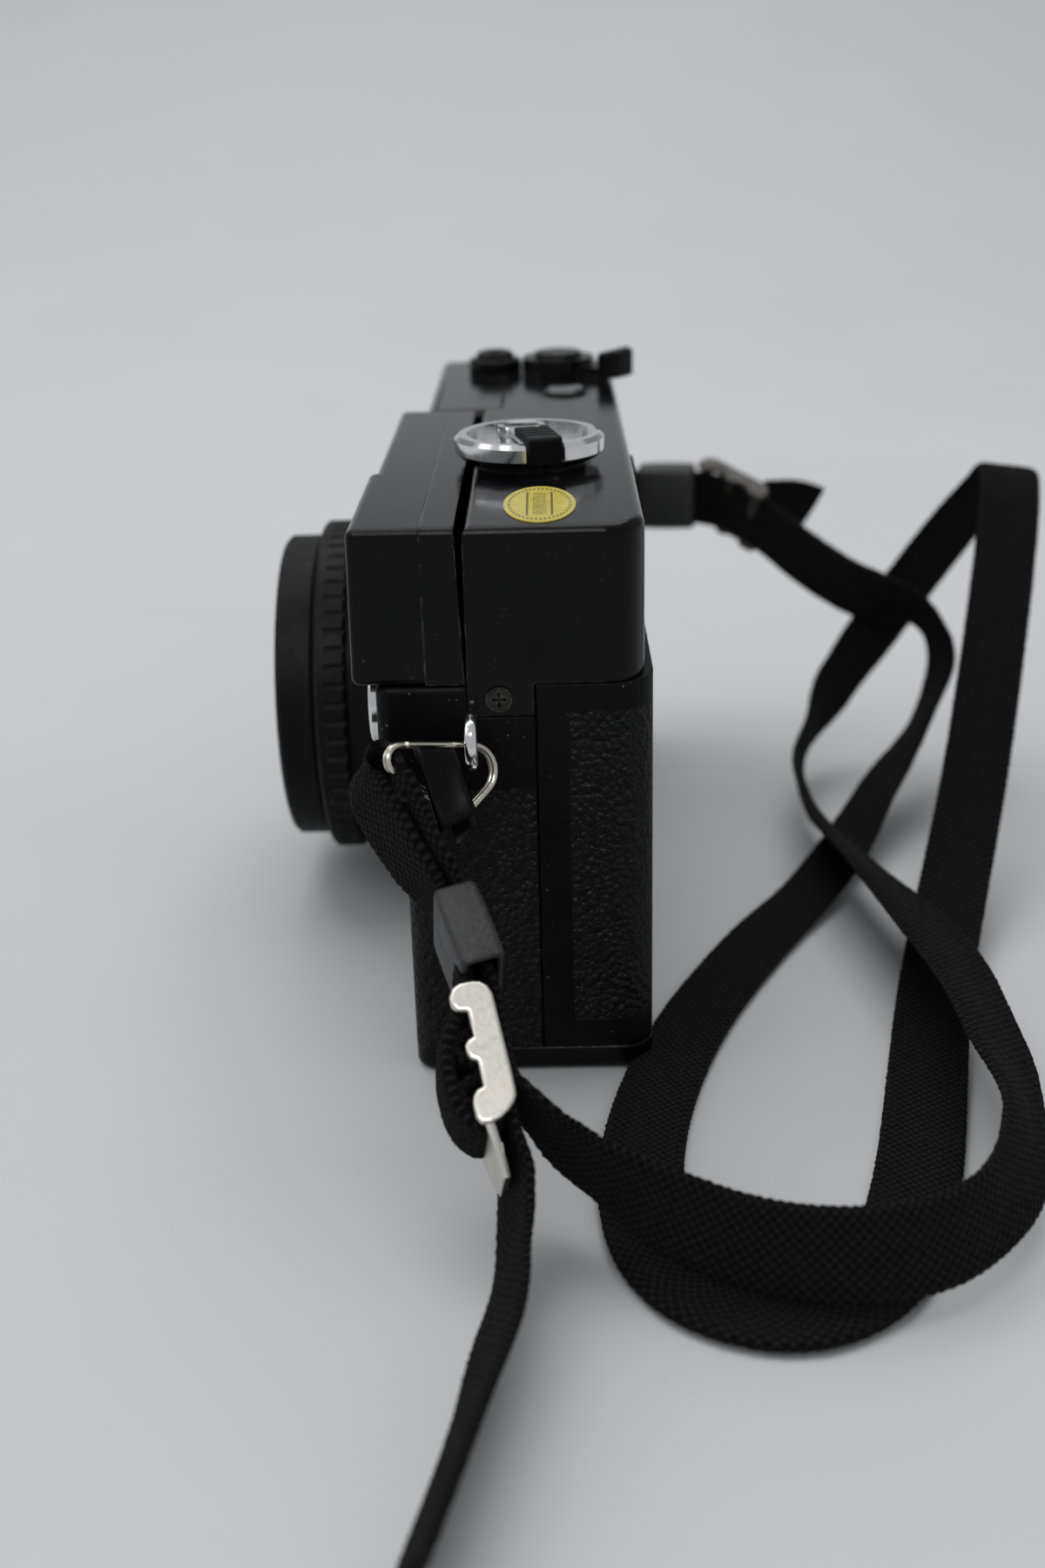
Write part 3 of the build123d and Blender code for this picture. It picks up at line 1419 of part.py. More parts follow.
with BuildPart() as strap_webbing:
    with BuildLine() as route:
        FilletPolyline(*strap_route, radius=cord_radii(strap_route))
    with BuildSketch(route.line ^ 0):
        Circle(cord_diameter / 2)
    sweep()
strap_webbing.part.label = "strap_webbing"
export_step(strap_webbing.part, "parts/strap_webbing.step")

with BuildPart() as strap_tail_near:
    with BuildLine() as route:
        FilletPolyline(*near_tail_route, radius=cord_radii(near_tail_route))
    with BuildSketch(route.line ^ 0):
        Circle(cord_diameter / 2)
    sweep()
strap_tail_near.part.label = "strap_tail_near"
export_step(strap_tail_near.part, "parts/strap_tail_near.step")

with BuildPart() as strap_tail_far:
    with BuildLine() as route:
        FilletPolyline(*far_tail_route, radius=cord_radii(far_tail_route))
    with BuildSketch(route.line ^ 0):
        Circle(cord_diameter / 2)
    sweep()
strap_tail_far.part.label = "strap_tail_far"
export_step(strap_tail_far.part, "parts/strap_tail_far.step")
for cord_name, points in (
    ("strap_webbing", strap_route),
    ("strap_tail_near", near_tail_route),
    ("strap_tail_far", far_tail_route),
):
    print(cord_name, "radii", [round(radius, 1) for radius in cord_radii(points)])

# Keepers: moulded sleeves that hold the doubled webbing together below each ring
keeper_length = 11.0
keeper_width = 12.4
keeper_depth = 6.4
keeper_clearance = 0.35
keeper_near = Plane((80.98, -9.06, 29.55), x_dir=(0.95, 0.31, 0), z_dir=(-5.1, -2.4, 19.7))
keeper_far = Plane((-73.15, 27.0, 47.4), x_dir=(0, 0, 1), z_dir=(2.7, 18.0, 0.2))
with BuildPart() as strap_keepers:
    for plane in (keeper_near, keeper_far):
        with BuildSketch(plane.offset(-keeper_length / 2)):
            RectangleRounded(keeper_width, keeper_depth, 1.2)
            Circle(cord_diameter / 2 + keeper_clearance, mode=Mode.SUBTRACT)
        extrude(amount=keeper_length)
strap_keepers.part.label = "strap_keepers"
export_step(strap_keepers.part, "parts/strap_keepers.step")

# Buckles: flat slides with a wide window for the band and a narrow one for its tail
buckle_length = 17.0
buckle_width = 14.0
buckle_bar = 1.5
buckle_window = 10.0
buckle_thickness = 1.0
buckle_near = Plane((86.3, -4.6, 12.7), x_dir=(-0.92, 0.36, -0.1), z_dir=(0.36, 0.92, 0.12))
buckle_far = Plane((-65.37, 37.62, 43.27), x_dir=(0.55, -0.2, 0.8), z_dir=(-0.75, -0.66, 0.3))
narrow_window = buckle_length - buckle_window - 3 * buckle_bar
with BuildPart() as strap_buckles:
    for plane in (buckle_near, buckle_far):
        with BuildSketch(plane.offset(-buckle_thickness / 2)):
            RectangleRounded(buckle_width, buckle_length, 1.6)
            with Locations((0, buckle_length / 2 - buckle_bar - buckle_window / 2)):
                RectangleRounded(buckle_width - 2 * buckle_bar, buckle_window, 0.8, mode=Mode.SUBTRACT)
            with Locations((0, -buckle_length / 2 + buckle_bar + narrow_window / 2)):
                RectangleRounded(buckle_width - 2 * buckle_bar, narrow_window, 0.8, mode=Mode.SUBTRACT)
        extrude(amount=buckle_thickness)
strap_buckles.part.label = "strap_buckles"
export_step(strap_buckles.part, "parts/strap_buckles.step")
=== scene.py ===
import json
import math
import random
import bmesh
import bpy
from mathutils import Matrix, Vector


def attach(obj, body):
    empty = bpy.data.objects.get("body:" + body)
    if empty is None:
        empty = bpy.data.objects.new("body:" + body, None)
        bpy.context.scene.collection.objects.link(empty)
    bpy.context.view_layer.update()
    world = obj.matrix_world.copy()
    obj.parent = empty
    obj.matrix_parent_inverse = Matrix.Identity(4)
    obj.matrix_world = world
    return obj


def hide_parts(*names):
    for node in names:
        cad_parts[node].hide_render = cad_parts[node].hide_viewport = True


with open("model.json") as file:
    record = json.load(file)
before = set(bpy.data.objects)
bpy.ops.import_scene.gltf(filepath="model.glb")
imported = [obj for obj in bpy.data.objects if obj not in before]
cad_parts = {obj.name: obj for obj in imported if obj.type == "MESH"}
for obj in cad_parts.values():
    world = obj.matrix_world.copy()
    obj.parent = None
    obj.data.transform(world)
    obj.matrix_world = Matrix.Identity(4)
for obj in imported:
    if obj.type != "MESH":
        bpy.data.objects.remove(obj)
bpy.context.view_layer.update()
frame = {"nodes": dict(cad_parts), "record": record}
nodes = frame["nodes"]
random.seed(5)
mm = 0.001

# Webbing sizes, shared by the bands' shape and their material

band_width, band_thickness = 10.5 * mm, 1.5 * mm
knot_pitch, knot_height, fuzz_size = 1.25 * mm, 0.09 * mm, 0.035 * mm
twill_pitch, weave_depth = 0.62 * mm, 0.24 * mm

# Camera, at the photograph's viewing angle; places in millimetres

camera_place = (272.3, 3.58, 126.9)
focus_place = (62, 0, 55)
pitch, yaw, roll = math.radians(22.25), math.radians(1.19), math.radians(-1.6)
forward = Vector((-math.cos(pitch) * math.cos(yaw), -math.cos(pitch) * math.sin(yaw), -math.sin(pitch)))
level_right = Vector((-math.sin(yaw), math.cos(yaw), 0))
level_up = level_right.cross(forward)
picture_right = math.cos(roll) * level_right + math.sin(roll) * level_up
picture_up = -math.sin(roll) * level_right + math.cos(roll) * level_up
camera_data = bpy.data.cameras.new("photo_camera")
camera_data.sensor_fit = "VERTICAL"
camera_data.sensor_height = 36
camera_data.lens = 39.98
camera_data.clip_start = 0.01
camera_data.dof.use_dof = True
focus_point = bpy.data.objects.new("focus_point", None)
focus_point.location = Vector(focus_place) * mm
bpy.context.scene.collection.objects.link(focus_point)
camera_data.dof.focus_object = focus_point
camera_data.dof.aperture_fstop = 13
camera = bpy.data.objects.new("photo_camera", camera_data)
bpy.context.scene.collection.objects.link(camera)
turn = Matrix((picture_right, picture_up, -forward)).transposed().to_4x4()
camera.matrix_world = Matrix.Translation(Vector(camera_place) * mm) @ turn
bpy.context.scene.camera = camera


# Helpers for node trees

class Tree:
    """A material's nodes, with short calls for the kinds that this scene uses."""

    def __init__(self, name):
        self.material = bpy.data.materials.new(name)
        self.material.use_nodes = True
        self.nodes = self.material.node_tree.nodes
        self.links = self.material.node_tree.links
        self.nodes.clear()
        self.out = self.nodes.new("ShaderNodeOutputMaterial")
        self.shader = self.nodes.new("ShaderNodeBsdfPrincipled")
        self.links.new(self.shader.outputs[0], self.out.inputs[0])

    def put(self, kind, **values):
        node = self.nodes.new(kind)
        for key, value in values.items():
            setattr(node, key, value)
        return node

    def join(self, source, target):
        self.links.new(source, target)

    def place(self, stretch=(1, 1, 1)):
        coords = self.put("ShaderNodeTexCoord")
        mapping = self.put("ShaderNodeMapping")
        mapping.inputs["Scale"].default_value = stretch
        self.join(coords.outputs["Object"], mapping.inputs["Vector"])
        return mapping.outputs["Vector"]

    def noise(self, scale, detail=3.0, rough=0.55, where=None, distortion=0.0):
        node = self.put("ShaderNodeTexNoise")
        node.inputs["Scale"].default_value = scale
        node.inputs["Detail"].default_value = detail
        node.inputs["Roughness"].default_value = rough
        node.inputs["Distortion"].default_value = distortion
        self.join(where or self.place(), node.inputs["Vector"])
        return node.outputs["Fac"]

    def cells(self, scale, feature="F1", smooth=0.0):
        node = self.put("ShaderNodeTexVoronoi", feature=feature)
        node.inputs["Scale"].default_value = scale
        if feature == "SMOOTH_F1":
            node.inputs["Smoothness"].default_value = smooth
        self.join(self.place(), node.inputs["Vector"])
        return node.outputs["Distance"]

    def remap(self, source, low, high, to_low=0.0, to_high=1.0):
        node = self.put("ShaderNodeMapRange", clamp=True)
        node.inputs["From Min"].default_value = low
        node.inputs["From Max"].default_value = high
        node.inputs["To Min"].default_value = to_low
        node.inputs["To Max"].default_value = to_high
        self.join(source, node.inputs["Value"])
        return node.outputs["Result"]

    def math(self, operation, first, second=None):
        node = self.put("ShaderNodeMath", operation=operation)
        for socket, value in zip(node.inputs, (first, second)):
            if value is None:
                continue
            if isinstance(value, (int, float)):
                socket.default_value = value
            else:
                self.join(value, socket)
        return node.outputs["Value"]

    def blend(self, factor, first, second):
        node = self.put("ShaderNodeMix", data_type="RGBA")
        self.join(factor, node.inputs["Factor"])
        for socket, value in ((node.inputs[6], first), (node.inputs[7], second)):
            if isinstance(value, tuple):
                socket.default_value = (*value, 1.0)
            else:
                self.join(value, socket)
        return node.outputs[2]

    def bump(self, height, distance, under=None):
        node = self.put("ShaderNodeBump")
        node.inputs["Distance"].default_value = distance
        node.inputs["Strength"].default_value = 1.0
        self.join(height, node.inputs["Height"])
        if under is not None:
            self.join(under, node.inputs["Normal"])
        return node.outputs["Normal"]

    def soft_normal(self, radius):
        """The normal with edges rounded over by a radius, so that they catch the light."""
        bevel = self.put("ShaderNodeBevel", samples=4)
        bevel.inputs["Radius"].default_value = radius
        return bevel.outputs["Normal"]

    def occlusion_shade(self, distance):
        """Ambient occlusion: 1 on open ground, towards 0 in slots and corners, for painted shade in colour.
        """
        node = self.put("ShaderNodeAmbientOcclusion", samples=4)
        node.inputs["Distance"].default_value = distance
        return node.outputs["AO"]

    def edge(self, radius, low=0.02, high=0.25):
        """0 on flats, 1 on convex and concave edges."""
        bevel = self.put("ShaderNodeBevel", samples=4)
        bevel.inputs["Radius"].default_value = radius
        plain = self.put("ShaderNodeNewGeometry")
        dot = self.put("ShaderNodeVectorMath", operation="DOT_PRODUCT")
        self.join(bevel.outputs["Normal"], dot.inputs[0])
        self.join(plain.outputs["Normal"], dot.inputs[1])
        return self.remap(self.math("SUBTRACT", 1.0, dot.outputs["Value"]), low, high)


def hard_surface(name, dark, light, rough, grain, dust=0.0, wear=0.0, wear_color=(0.3, 0.3, 0.3), metal=0.0,
                 specular=0.5, soften=0.0, recess_shade=0.0, ior=1.5, mottle=0.0):
    """Moulded or painted stock: colour and roughness drift, fine grain, dust specks, worn edges and painted
    shade in recesses.

    rough is (least, most); grain is (cells per metre, depth in metres); soften and slot are reaches in
    metres, of rounded edges and of painted shade that darkens recesses; mottle is the scale of a second
    colour noise."""
    tree = Tree(name)
    shader = tree.shader
    shader.inputs["Metallic"].default_value = metal
    shader.inputs["Specular IOR Level"].default_value = specular
    shader.inputs["IOR"].default_value = ior
    drift = tree.noise(140, 4, 0.6)
    smudge = tree.noise(420, 5, 0.65, distortion=0.8)
    if mottle:
        spots = tree.math("MULTIPLY", tree.noise(mottle, 2, 0.6), 0.65)
        drift = tree.math("ADD", tree.math("MULTIPLY", drift, 0.35), spots)
    colour = tree.blend(tree.remap(drift, 0.35, 0.65), dark, light)
    roughness = tree.remap(smudge, 0.3, 0.75, *rough)
    if dust:
        speck = tree.remap(tree.cells(900), 0.16, 0.05)
        patch = tree.remap(tree.noise(260, 3, 0.7), 0.52, 0.72)
        amount = tree.math("MULTIPLY", tree.math("MULTIPLY", speck, patch), dust)
        colour = tree.blend(amount, colour, (0.32, 0.31, 0.29))
        roughness = tree.math("MAXIMUM", roughness, tree.math("MULTIPLY", amount, 0.8))
    if wear:
        rubbed = tree.math("MULTIPLY", tree.edge(0.00035), tree.remap(tree.noise(600, 4, 0.7), 0.45, 0.62))
        colour = tree.blend(tree.math("MULTIPLY", rubbed, wear), colour, wear_color)
    # Painted shade: ambient occlusion darkens the colour in slots and recesses
    if recess_shade:
        colour = tree.blend(tree.remap(tree.occlusion_shade(recess_shade), 0.55, 0.95), (0.001, 0.001, 0.001), colour)
    tree.join(colour, shader.inputs["Base Color"])
    tree.join(roughness, shader.inputs["Roughness"])
    fine = tree.noise(grain[0], 3, 0.6)
    under = tree.soft_normal(soften) if soften else None
    tree.join(tree.bump(fine, grain[1], under=under), shader.inputs["Normal"])
    return tree.material


def leather_surface(name, dark, light, grains_per_m, depth):
    """Pebbled leather cloth: rounded grains of uneven size, with painted sheen lightening their tops and
    painted shade darkening the gaps between them.
    """
    tree = Tree(name)
    grains = tree.cells(grains_per_m, "SMOOTH_F1", 0.35)
    small = tree.cells(grains_per_m * 2.3, "SMOOTH_F1", 0.3)
    swell = tree.noise(grains_per_m * 0.35, 3, 0.5)
    height = tree.math("ADD", tree.math("MULTIPLY", grains, -1.0), tree.math("MULTIPLY", small, -0.35))
    height = tree.math("ADD", height, tree.math("MULTIPLY", swell, 0.7))
    # Colour follows the grain's height: painted shade low between grains, painted sheen on their tops
    tree.join(tree.blend(tree.remap(height, -0.75, 0.1), dark, light), tree.shader.inputs["Base Color"])
    tree.join(tree.remap(tree.noise(300, 4, 0.6), 0.3, 0.7, 0.36, 0.54), tree.shader.inputs["Roughness"])
    tree.shader.inputs["Specular IOR Level"].default_value = 0.16
    tree.join(tree.bump(height, depth), tree.shader.inputs["Normal"])
    return tree.material


def metal_surface(name, colour, tint, rough, scratch=(900, 900, 90), depth=4e-6, grime=0.35):
    """Plated or bare metal: fine directional scratches, cloudy roughness and grime in the corners."""
    tree = Tree(name)
    tree.shader.inputs["Metallic"].default_value = 1.0
    lines = tree.noise(3.0, 5, 0.7, where=tree.place(scratch))
    cloud = tree.noise(350, 5, 0.65)
    base = tree.blend(tree.remap(cloud, 0.35, 0.75), colour, tint)
    patches = tree.remap(tree.noise(900, 3, 0.6), 0.45, 0.65)
    corner = tree.math("MULTIPLY", tree.edge(0.0004, 0.05, 0.4), patches)
    base = tree.blend(tree.math("MULTIPLY", corner, grime), base, (0.08, 0.075, 0.065))
    tree.join(base, tree.shader.inputs["Base Color"])
    tree.join(tree.remap(tree.math("ADD", lines, cloud), 0.7, 1.3, *rough), tree.shader.inputs["Roughness"])
    tree.join(tree.bump(lines, depth), tree.shader.inputs["Normal"])
    return tree.material


def glass_surface(name, tint):
    """Clear glass with a faint uneven film."""
    tree = Tree(name)
    clean = 0.03
    filmed = clean + 0.06
    brighter = tuple(min(1.0, share * 1.08) for share in tint)
    tree.shader.inputs["Transmission Weight"].default_value = 1.0
    tree.shader.inputs["IOR"].default_value = 1.5
    film = tree.noise(500, 4, 0.6)
    tree.join(tree.blend(tree.remap(film, 0.3, 0.7), tint, brighter), tree.shader.inputs["Base Color"])
    tree.join(tree.remap(film, 0.45, 0.8, clean, filmed), tree.shader.inputs["Roughness"])
    tree.join(tree.bump(tree.noise(160, 2, 0.5), 2e-6), tree.shader.inputs["Normal"])
    return tree.material


def webbing_surface(name):
    """Coarse woven band, with painted highlights on its knots and painted shade between them. The map's u
    runs along the band and v across it, both in metres.
    """
    tree = Tree(name)
    uv = tree.put("ShaderNodeUVMap", uv_map="weave")
    split = tree.put("ShaderNodeSeparateXYZ")
    tree.join(uv.outputs["UV"], split.inputs[0])
    along = tree.math("ADD", split.outputs["X"], tree.math("MULTIPLY", tree.noise(500, 2, 0.5), 0.0003))
    across = tree.math("ADD", split.outputs["Y"], tree.math("MULTIPLY", tree.noise(700, 2, 0.5), 0.0003))
    wave_u = tree.math("SINE", tree.math("MULTIPLY", along, 2 * math.pi / knot_pitch))
    wave_v = tree.math("SINE", tree.math("MULTIPLY", across, 2 * math.pi / knot_pitch))
    knots = tree.math("MULTIPLY", wave_u, wave_v)
    askew = tree.math("ADD", along, tree.math("MULTIPLY", across, 0.8))
    slant = tree.math("SINE", tree.math("MULTIPLY", askew, 2 * math.pi / twill_pitch))
    hair = tree.noise(5200, 4, 0.7)
    height = tree.math("ADD", knots, tree.math("MULTIPLY", slant, 0.25))
    height = tree.math("ADD", height, tree.math("MULTIPLY", hair, 1.1))
    # Colour follows the weave's height: painted highlights on the knot tops and painted shade in the gaps;
    # the next mix fades it in patches
    knot_light_and_shade = tree.blend(tree.remap(height, 0.25, 1.9), (0.0005, 0.0005, 0.0005), (0.025, 0.0243, 0.0228))
    faded_knot_light = tree.blend(tree.remap(tree.noise(120, 4, 0.6), 0.55, 0.95), knot_light_and_shade, (0.010, 0.0085, 0.0075))
    tree.join(faded_knot_light, tree.shader.inputs["Base Color"])
    tree.join(tree.remap(hair, 0.3, 0.7, 0.8, 0.97), tree.shader.inputs["Roughness"])
    tree.shader.inputs["Specular IOR Level"].default_value = 0.08
    tree.shader.inputs["Sheen Weight"].default_value = 0.015
    tree.shader.inputs["Sheen Roughness"].default_value = 0.5
    tree.join(tree.bump(height, weave_depth), tree.shader.inputs["Normal"])
    return tree.material


def sticker_surface(name, centre, axes):
    """Generic oval sticker with no words: a dashed ring, two bars, and random marks between them."""
    tree = Tree(name)
    coords = tree.put("ShaderNodeTexCoord")
    mapping = tree.put("ShaderNodeMapping")
    mapping.inputs["Location"].default_value = (-centre[0] / axes[0], -centre[1] / axes[1], 0)
    mapping.inputs["Scale"].default_value = (1 / axes[0], 1 / axes[1], 0)
    tree.join(coords.outputs["Object"], mapping.inputs["Vector"])
    length = tree.put("ShaderNodeVectorMath", operation="LENGTH")
    tree.join(mapping.outputs["Vector"], length.inputs[0])
    r = length.outputs["Value"]
    ring = tree.math("MULTIPLY", tree.remap(r, 0.80, 0.82), tree.remap(r, 0.90, 0.88))
    split = tree.put("ShaderNodeSeparateXYZ")
    tree.join(mapping.outputs["Vector"], split.inputs[0])
    angle = tree.math("ARCTAN2", split.outputs["Y"], split.outputs["X"])
    teeth = tree.remap(tree.math("SINE", tree.math("MULTIPLY", angle, 44.0)), -0.1, 0.1)
    dashes = tree.math("MULTIPLY", teeth, ring)
    middle = tree.math("ABSOLUTE", split.outputs["Y"])
    bars = tree.math("MULTIPLY", tree.remap(middle, 0.30, 0.32), tree.remap(middle, 0.38, 0.36))
    bars = tree.math("MULTIPLY", bars, tree.remap(r, 0.74, 0.72))
    middle_band = tree.math("MULTIPLY", tree.remap(middle, 0.20, 0.18), tree.remap(r, 0.62, 0.60))
    marks = tree.remap(tree.noise(5200, 1, 0.5), 0.52, 0.56)
    ink = tree.math("MAXIMUM", tree.math("MAXIMUM", dashes, bars), tree.math("MULTIPLY", middle_band, marks))
    paper = tree.blend(tree.remap(tree.noise(900, 4, 0.6), 0.3, 0.7), (0.52, 0.44, 0.055), (0.66, 0.56, 0.09))
    printed = tree.blend(tree.math("MULTIPLY", ink, 0.85), paper, (0.02, 0.02, 0.015))
    tree.join(printed, tree.shader.inputs["Base Color"])
    tree.join(tree.remap(tree.noise(700, 3, 0.6), 0.3, 0.7, 0.28, 0.42), tree.shader.inputs["Roughness"])
    tree.join(tree.bump(tree.noise(1500, 3, 0.6), 8e-6), tree.shader.inputs["Normal"])
    return tree.material


gloss = hard_surface("gloss_black", (0.0022, 0.0022, 0.0026), (0.0045, 0.0045, 0.005), (0.07, 0.2),
                     (700, 5e-6), dust=0.25, wear=0.6, wear_color=(0.26, 0.26, 0.27), specular=0.4,
                     soften=0.0005, ior=1.27)
matte = hard_surface("matte_black", (0.0022, 0.0022, 0.0025), (0.005, 0.005, 0.0052), (0.4, 0.58),
                     (3800, 18e-6), dust=0.8, wear=0.35, wear_color=(0.08, 0.08, 0.08), specular=0.13,
                     soften=0.0004, ior=1.4)
leather = leather_surface("leatherette", (0.0008, 0.0008, 0.001), (0.006, 0.006, 0.0064), 1100, 0.0005)
casting = hard_surface("casting", (0.002, 0.002, 0.002), (0.006, 0.006, 0.006), (0.45, 0.65), (1600, 22e-6),
                       dust=0.2, wear=0.4, wear_color=(0.3, 0.3, 0.3), specular=0.13)
black_metal = hard_surface("black_metal", (0.0025, 0.0025, 0.003), (0.006, 0.006, 0.0065), (0.2, 0.36),
                           (1900, 7e-6), dust=0.25, wear=0.7, wear_color=(0.4, 0.39, 0.37), specular=0.16,
                           ior=1.4)
vinyl = hard_surface("vinyl", (0.001, 0.001, 0.0012), (0.003, 0.003, 0.0033), (0.3, 0.46), (900, 14e-6),
                     dust=0.15, specular=0.12)
keeper_plastic = hard_surface("keeper_plastic", (0.007, 0.007, 0.0075), (0.032, 0.032, 0.033), (0.45, 0.62),
                              (2600, 0.00013), dust=0.3, wear=0.4, wear_color=(0.12, 0.12, 0.12),
                              mottle=1500)
# Screw heads, with painted shade darkening their cross slots
screw_steel = hard_surface("screw_steel", (0.018, 0.018, 0.017), (0.05, 0.048, 0.045), (0.32, 0.5),
                           (2200, 9e-6), dust=0.5, wear=0.6, wear_color=(0.3, 0.29, 0.27), metal=1.0,
                           recess_shade=0.0006)
foam = hard_surface("foam", (0.006, 0.006, 0.006), (0.018, 0.018, 0.018), (0.85, 0.98), (2600, 0.00012),
                    specular=0.15)
white_plastic = hard_surface("white_plastic", (0.55, 0.55, 0.52), (0.66, 0.66, 0.63), (0.3, 0.45),
                             (900, 9e-6), dust=0.2)
cell = hard_surface("cell", (0.16, 0.18, 0.21), (0.28, 0.31, 0.35), (0.25, 0.4), (700, 6e-6), metal=0.5,
                    wear=0.4, wear_color=(0.6, 0.6, 0.58))
chrome = metal_surface("chrome", (0.80, 0.80, 0.81), (0.70, 0.70, 0.71), (0.06, 0.2))
steel = metal_surface("steel", (0.50, 0.49, 0.48), (0.62, 0.61, 0.60), (0.24, 0.42))
nickel = metal_surface("nickel", (0.66, 0.62, 0.55), (0.46, 0.42, 0.36), (0.12, 0.3), grime=0.6)
silver = metal_surface("silver_buckle", (0.80, 0.775, 0.71), (0.60, 0.57, 0.51), (0.24, 0.4),
                       scratch=(500, 1400, 500), depth=2e-5, grime=0.5)
# A dark copy of the buckle's silver: painted shade for the far buckle
shaded_silver = metal_surface("shaded_silver", (0.10, 0.094, 0.085), (0.05, 0.046, 0.042), (0.4, 0.6), grime=0.5)
lens_glass = glass_surface("glass", (0.86, 0.88, 0.96))
webbing = webbing_surface("webbing")
sticker_centre, sticker_axes = (54.4 * mm, 2.2 * mm), (9.8 * mm, 4.6 * mm)
sticker = sticker_surface("sticker", sticker_centre, sticker_axes)

finish_of_slot = {
    "gloss_black": gloss, "matte_black": matte, "leatherette": leather, "casting": casting, "chrome": chrome,
    "black_metal": black_metal, "steel": steel, "nickel": nickel, "silver_buckle": silver,
    "white_plastic": white_plastic, "glass": lens_glass, "cell": cell, "foam": foam, "vinyl": vinyl,
    "sticker": sticker, "webbing": webbing,
}
slot_of = {part["node"]: part["material_slot"] for part in frame["record"]["subparts"]}
finish_of_node = {"cover_screws": screw_steel, "shutter_collar": black_metal, "shutter_button": black_metal}
for name, piece in nodes.items():
    piece.data.materials.clear()
    piece.data.materials.append(finish_of_node.get(name, finish_of_slot[slot_of[name]]))


# Cords. The routes are in millimetres. They follow part.py's, but near the ring the band stands on edge and
# further out, and on the floor it lies lower, because it is flat.

def spline_path(name, points):
    """Points in metres along a spline through a route's control points."""
    curve = bpy.data.curves.new(name, "CURVE")
    curve.dimensions = "3D"
    curve.resolution_u = 16
    spline = curve.splines.new("NURBS")
    spline.points.add(len(points) - 1)
    for target, point in zip(spline.points, points):
        target.co = (*[value * mm for value in point], 1)
    spline.order_u = 3
    spline.use_endpoint_u = True
    carrier = bpy.data.objects.new(name, curve)
    bpy.context.scene.collection.objects.link(carrier)
    bpy.context.view_layer.update()
    line = bpy.data.meshes.new_from_object(carrier)
    path = [vertex.co.copy() for vertex in line.vertices]
    bpy.data.objects.remove(carrier)
    bpy.data.curves.remove(curve)
    bpy.data.meshes.remove(line)
    return path


def resample(path, step):
    """Points at an even step along a path, and each one's place along it from 0 to 1."""
    lengths = [0.0]
    for a, b in zip(path, path[1:]):
        lengths.append(lengths[-1] + (b - a).length)
    total = lengths[-1]
    count = max(2, round(total / step))
    points, shares, k = [], [], 0
    for i in range(count + 1):
        run = total * i / count
        while k < len(path) - 2 and lengths[k + 1] < run:
            k += 1
        past = (run - lengths[k]) / max(1e-12, lengths[k + 1] - lengths[k])
        points.append(path[k].lerp(path[k + 1], min(1.0, max(0.0, past))))
        shares.append((k + past) / (len(path) - 1))
    return points, shares, total


def hint_at(hints, share):
    """The width direction at a share of a spline's spans, eased from one control point's hint to the next.

    The first and last spans reach a control point, and the others run from one midpoint to the next."""
    spans = len(hints) - 2
    place = share * spans
    if place < 0.5:
        place *= 2
    elif place > spans - 0.5:
        place = spans + 1 - 2 * (spans - place)
    else:
        place += 0.5
    k = min(int(place), len(hints) - 2)
    past = place - k
    eased = past * past * (3 - 2 * past)
    return Vector(hints[k]).normalized().lerp(Vector(hints[k + 1]).normalized(), eased)


def ribbon(name, path, hints, width, thickness, step=0.34, across=16, plump=0.0):
    """A woven band along a path: rounded section, raised knots, scalloped selvedges, and a map in metres.

    step is the ring spacing in millimetres. plump thickens the start of the band, by that share of it."""
    plump_end = 0.06
    scallop_depth, scallop_middle = 0.034, 0.6
    rim_thickness = 0.22
    points, shares, total = resample(path, step * mm)
    section = [(-0.5 + i / across, 0.5) for i in range(across + 1)]
    section += [(0.5 - i / across, -0.5) for i in range(across + 1)]
    mesh = bmesh.new()
    uv_layer = mesh.loops.layers.uv.new("weave")
    rings, runs, run = [], [], 0.0
    for i, point in enumerate(points):
        a = points[max(0, i - 3)]
        b = points[min(len(points) - 1, i + 3)]
        tangent = (b - a).normalized()
        wide = hint_at(hints, shares[i])
        wide = (wide - tangent * wide.dot(tangent)).normalized()
        normal = tangent.cross(wide).normalized()
        if i:
            run += (point - points[i - 1]).length
        runs.append(run)
        thick = thickness * (1 + plump * max(0.0, 1 - shares[i] / plump_end))
        scallop = 1 + scallop_depth * (abs(math.sin(math.pi * run / knot_pitch)) - scallop_middle)
        ring = []
        for v, side in section:
            edge = math.sqrt(max(0.0, 1 - (2 * v) ** 6))
            knot = math.sin(2 * math.pi * run / knot_pitch) * math.sin(2 * math.pi * v * width / knot_pitch)
            lift = side * thick * (rim_thickness + (1 - rim_thickness) * edge)
            lift += 2 * side * knot_height * knot * edge
            out = normal * lift + wide * (v * width * scallop)
            fuzz = Vector([random.gauss(0, 1) for _ in range(3)]) * fuzz_size
            ring.append(mesh.verts.new(point + out + fuzz))
        rings.append(ring)
    count = len(section)
    for i in range(len(rings) - 1):
        for k in range(count):
            n = (k + 1) % count
            face = mesh.faces.new((rings[i][k], rings[i][n], rings[i + 1][n], rings[i + 1][k]))
            face.smooth = True
            vk = section[k][0] * width
            vn = section[n][0] * width
            corners = ((runs[i], vk), (runs[i], vn), (runs[i + 1], vn), (runs[i + 1], vk))
            for loop, uv in zip(face.loops, corners):
                loop[uv_layer].uv = uv
    for ring in (rings[0], rings[-1]):
        mesh.faces.new(ring)
    bmesh.ops.recalc_face_normals(mesh, faces=mesh.faces)
    data = bpy.data.meshes.new(name)
    mesh.to_mesh(data)
    mesh.free()
    piece = bpy.data.objects.new(name, data)
    bpy.context.scene.collection.objects.link(piece)
    data.materials.append(webbing)
    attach(piece, "camera_body")
    return piece, points, total


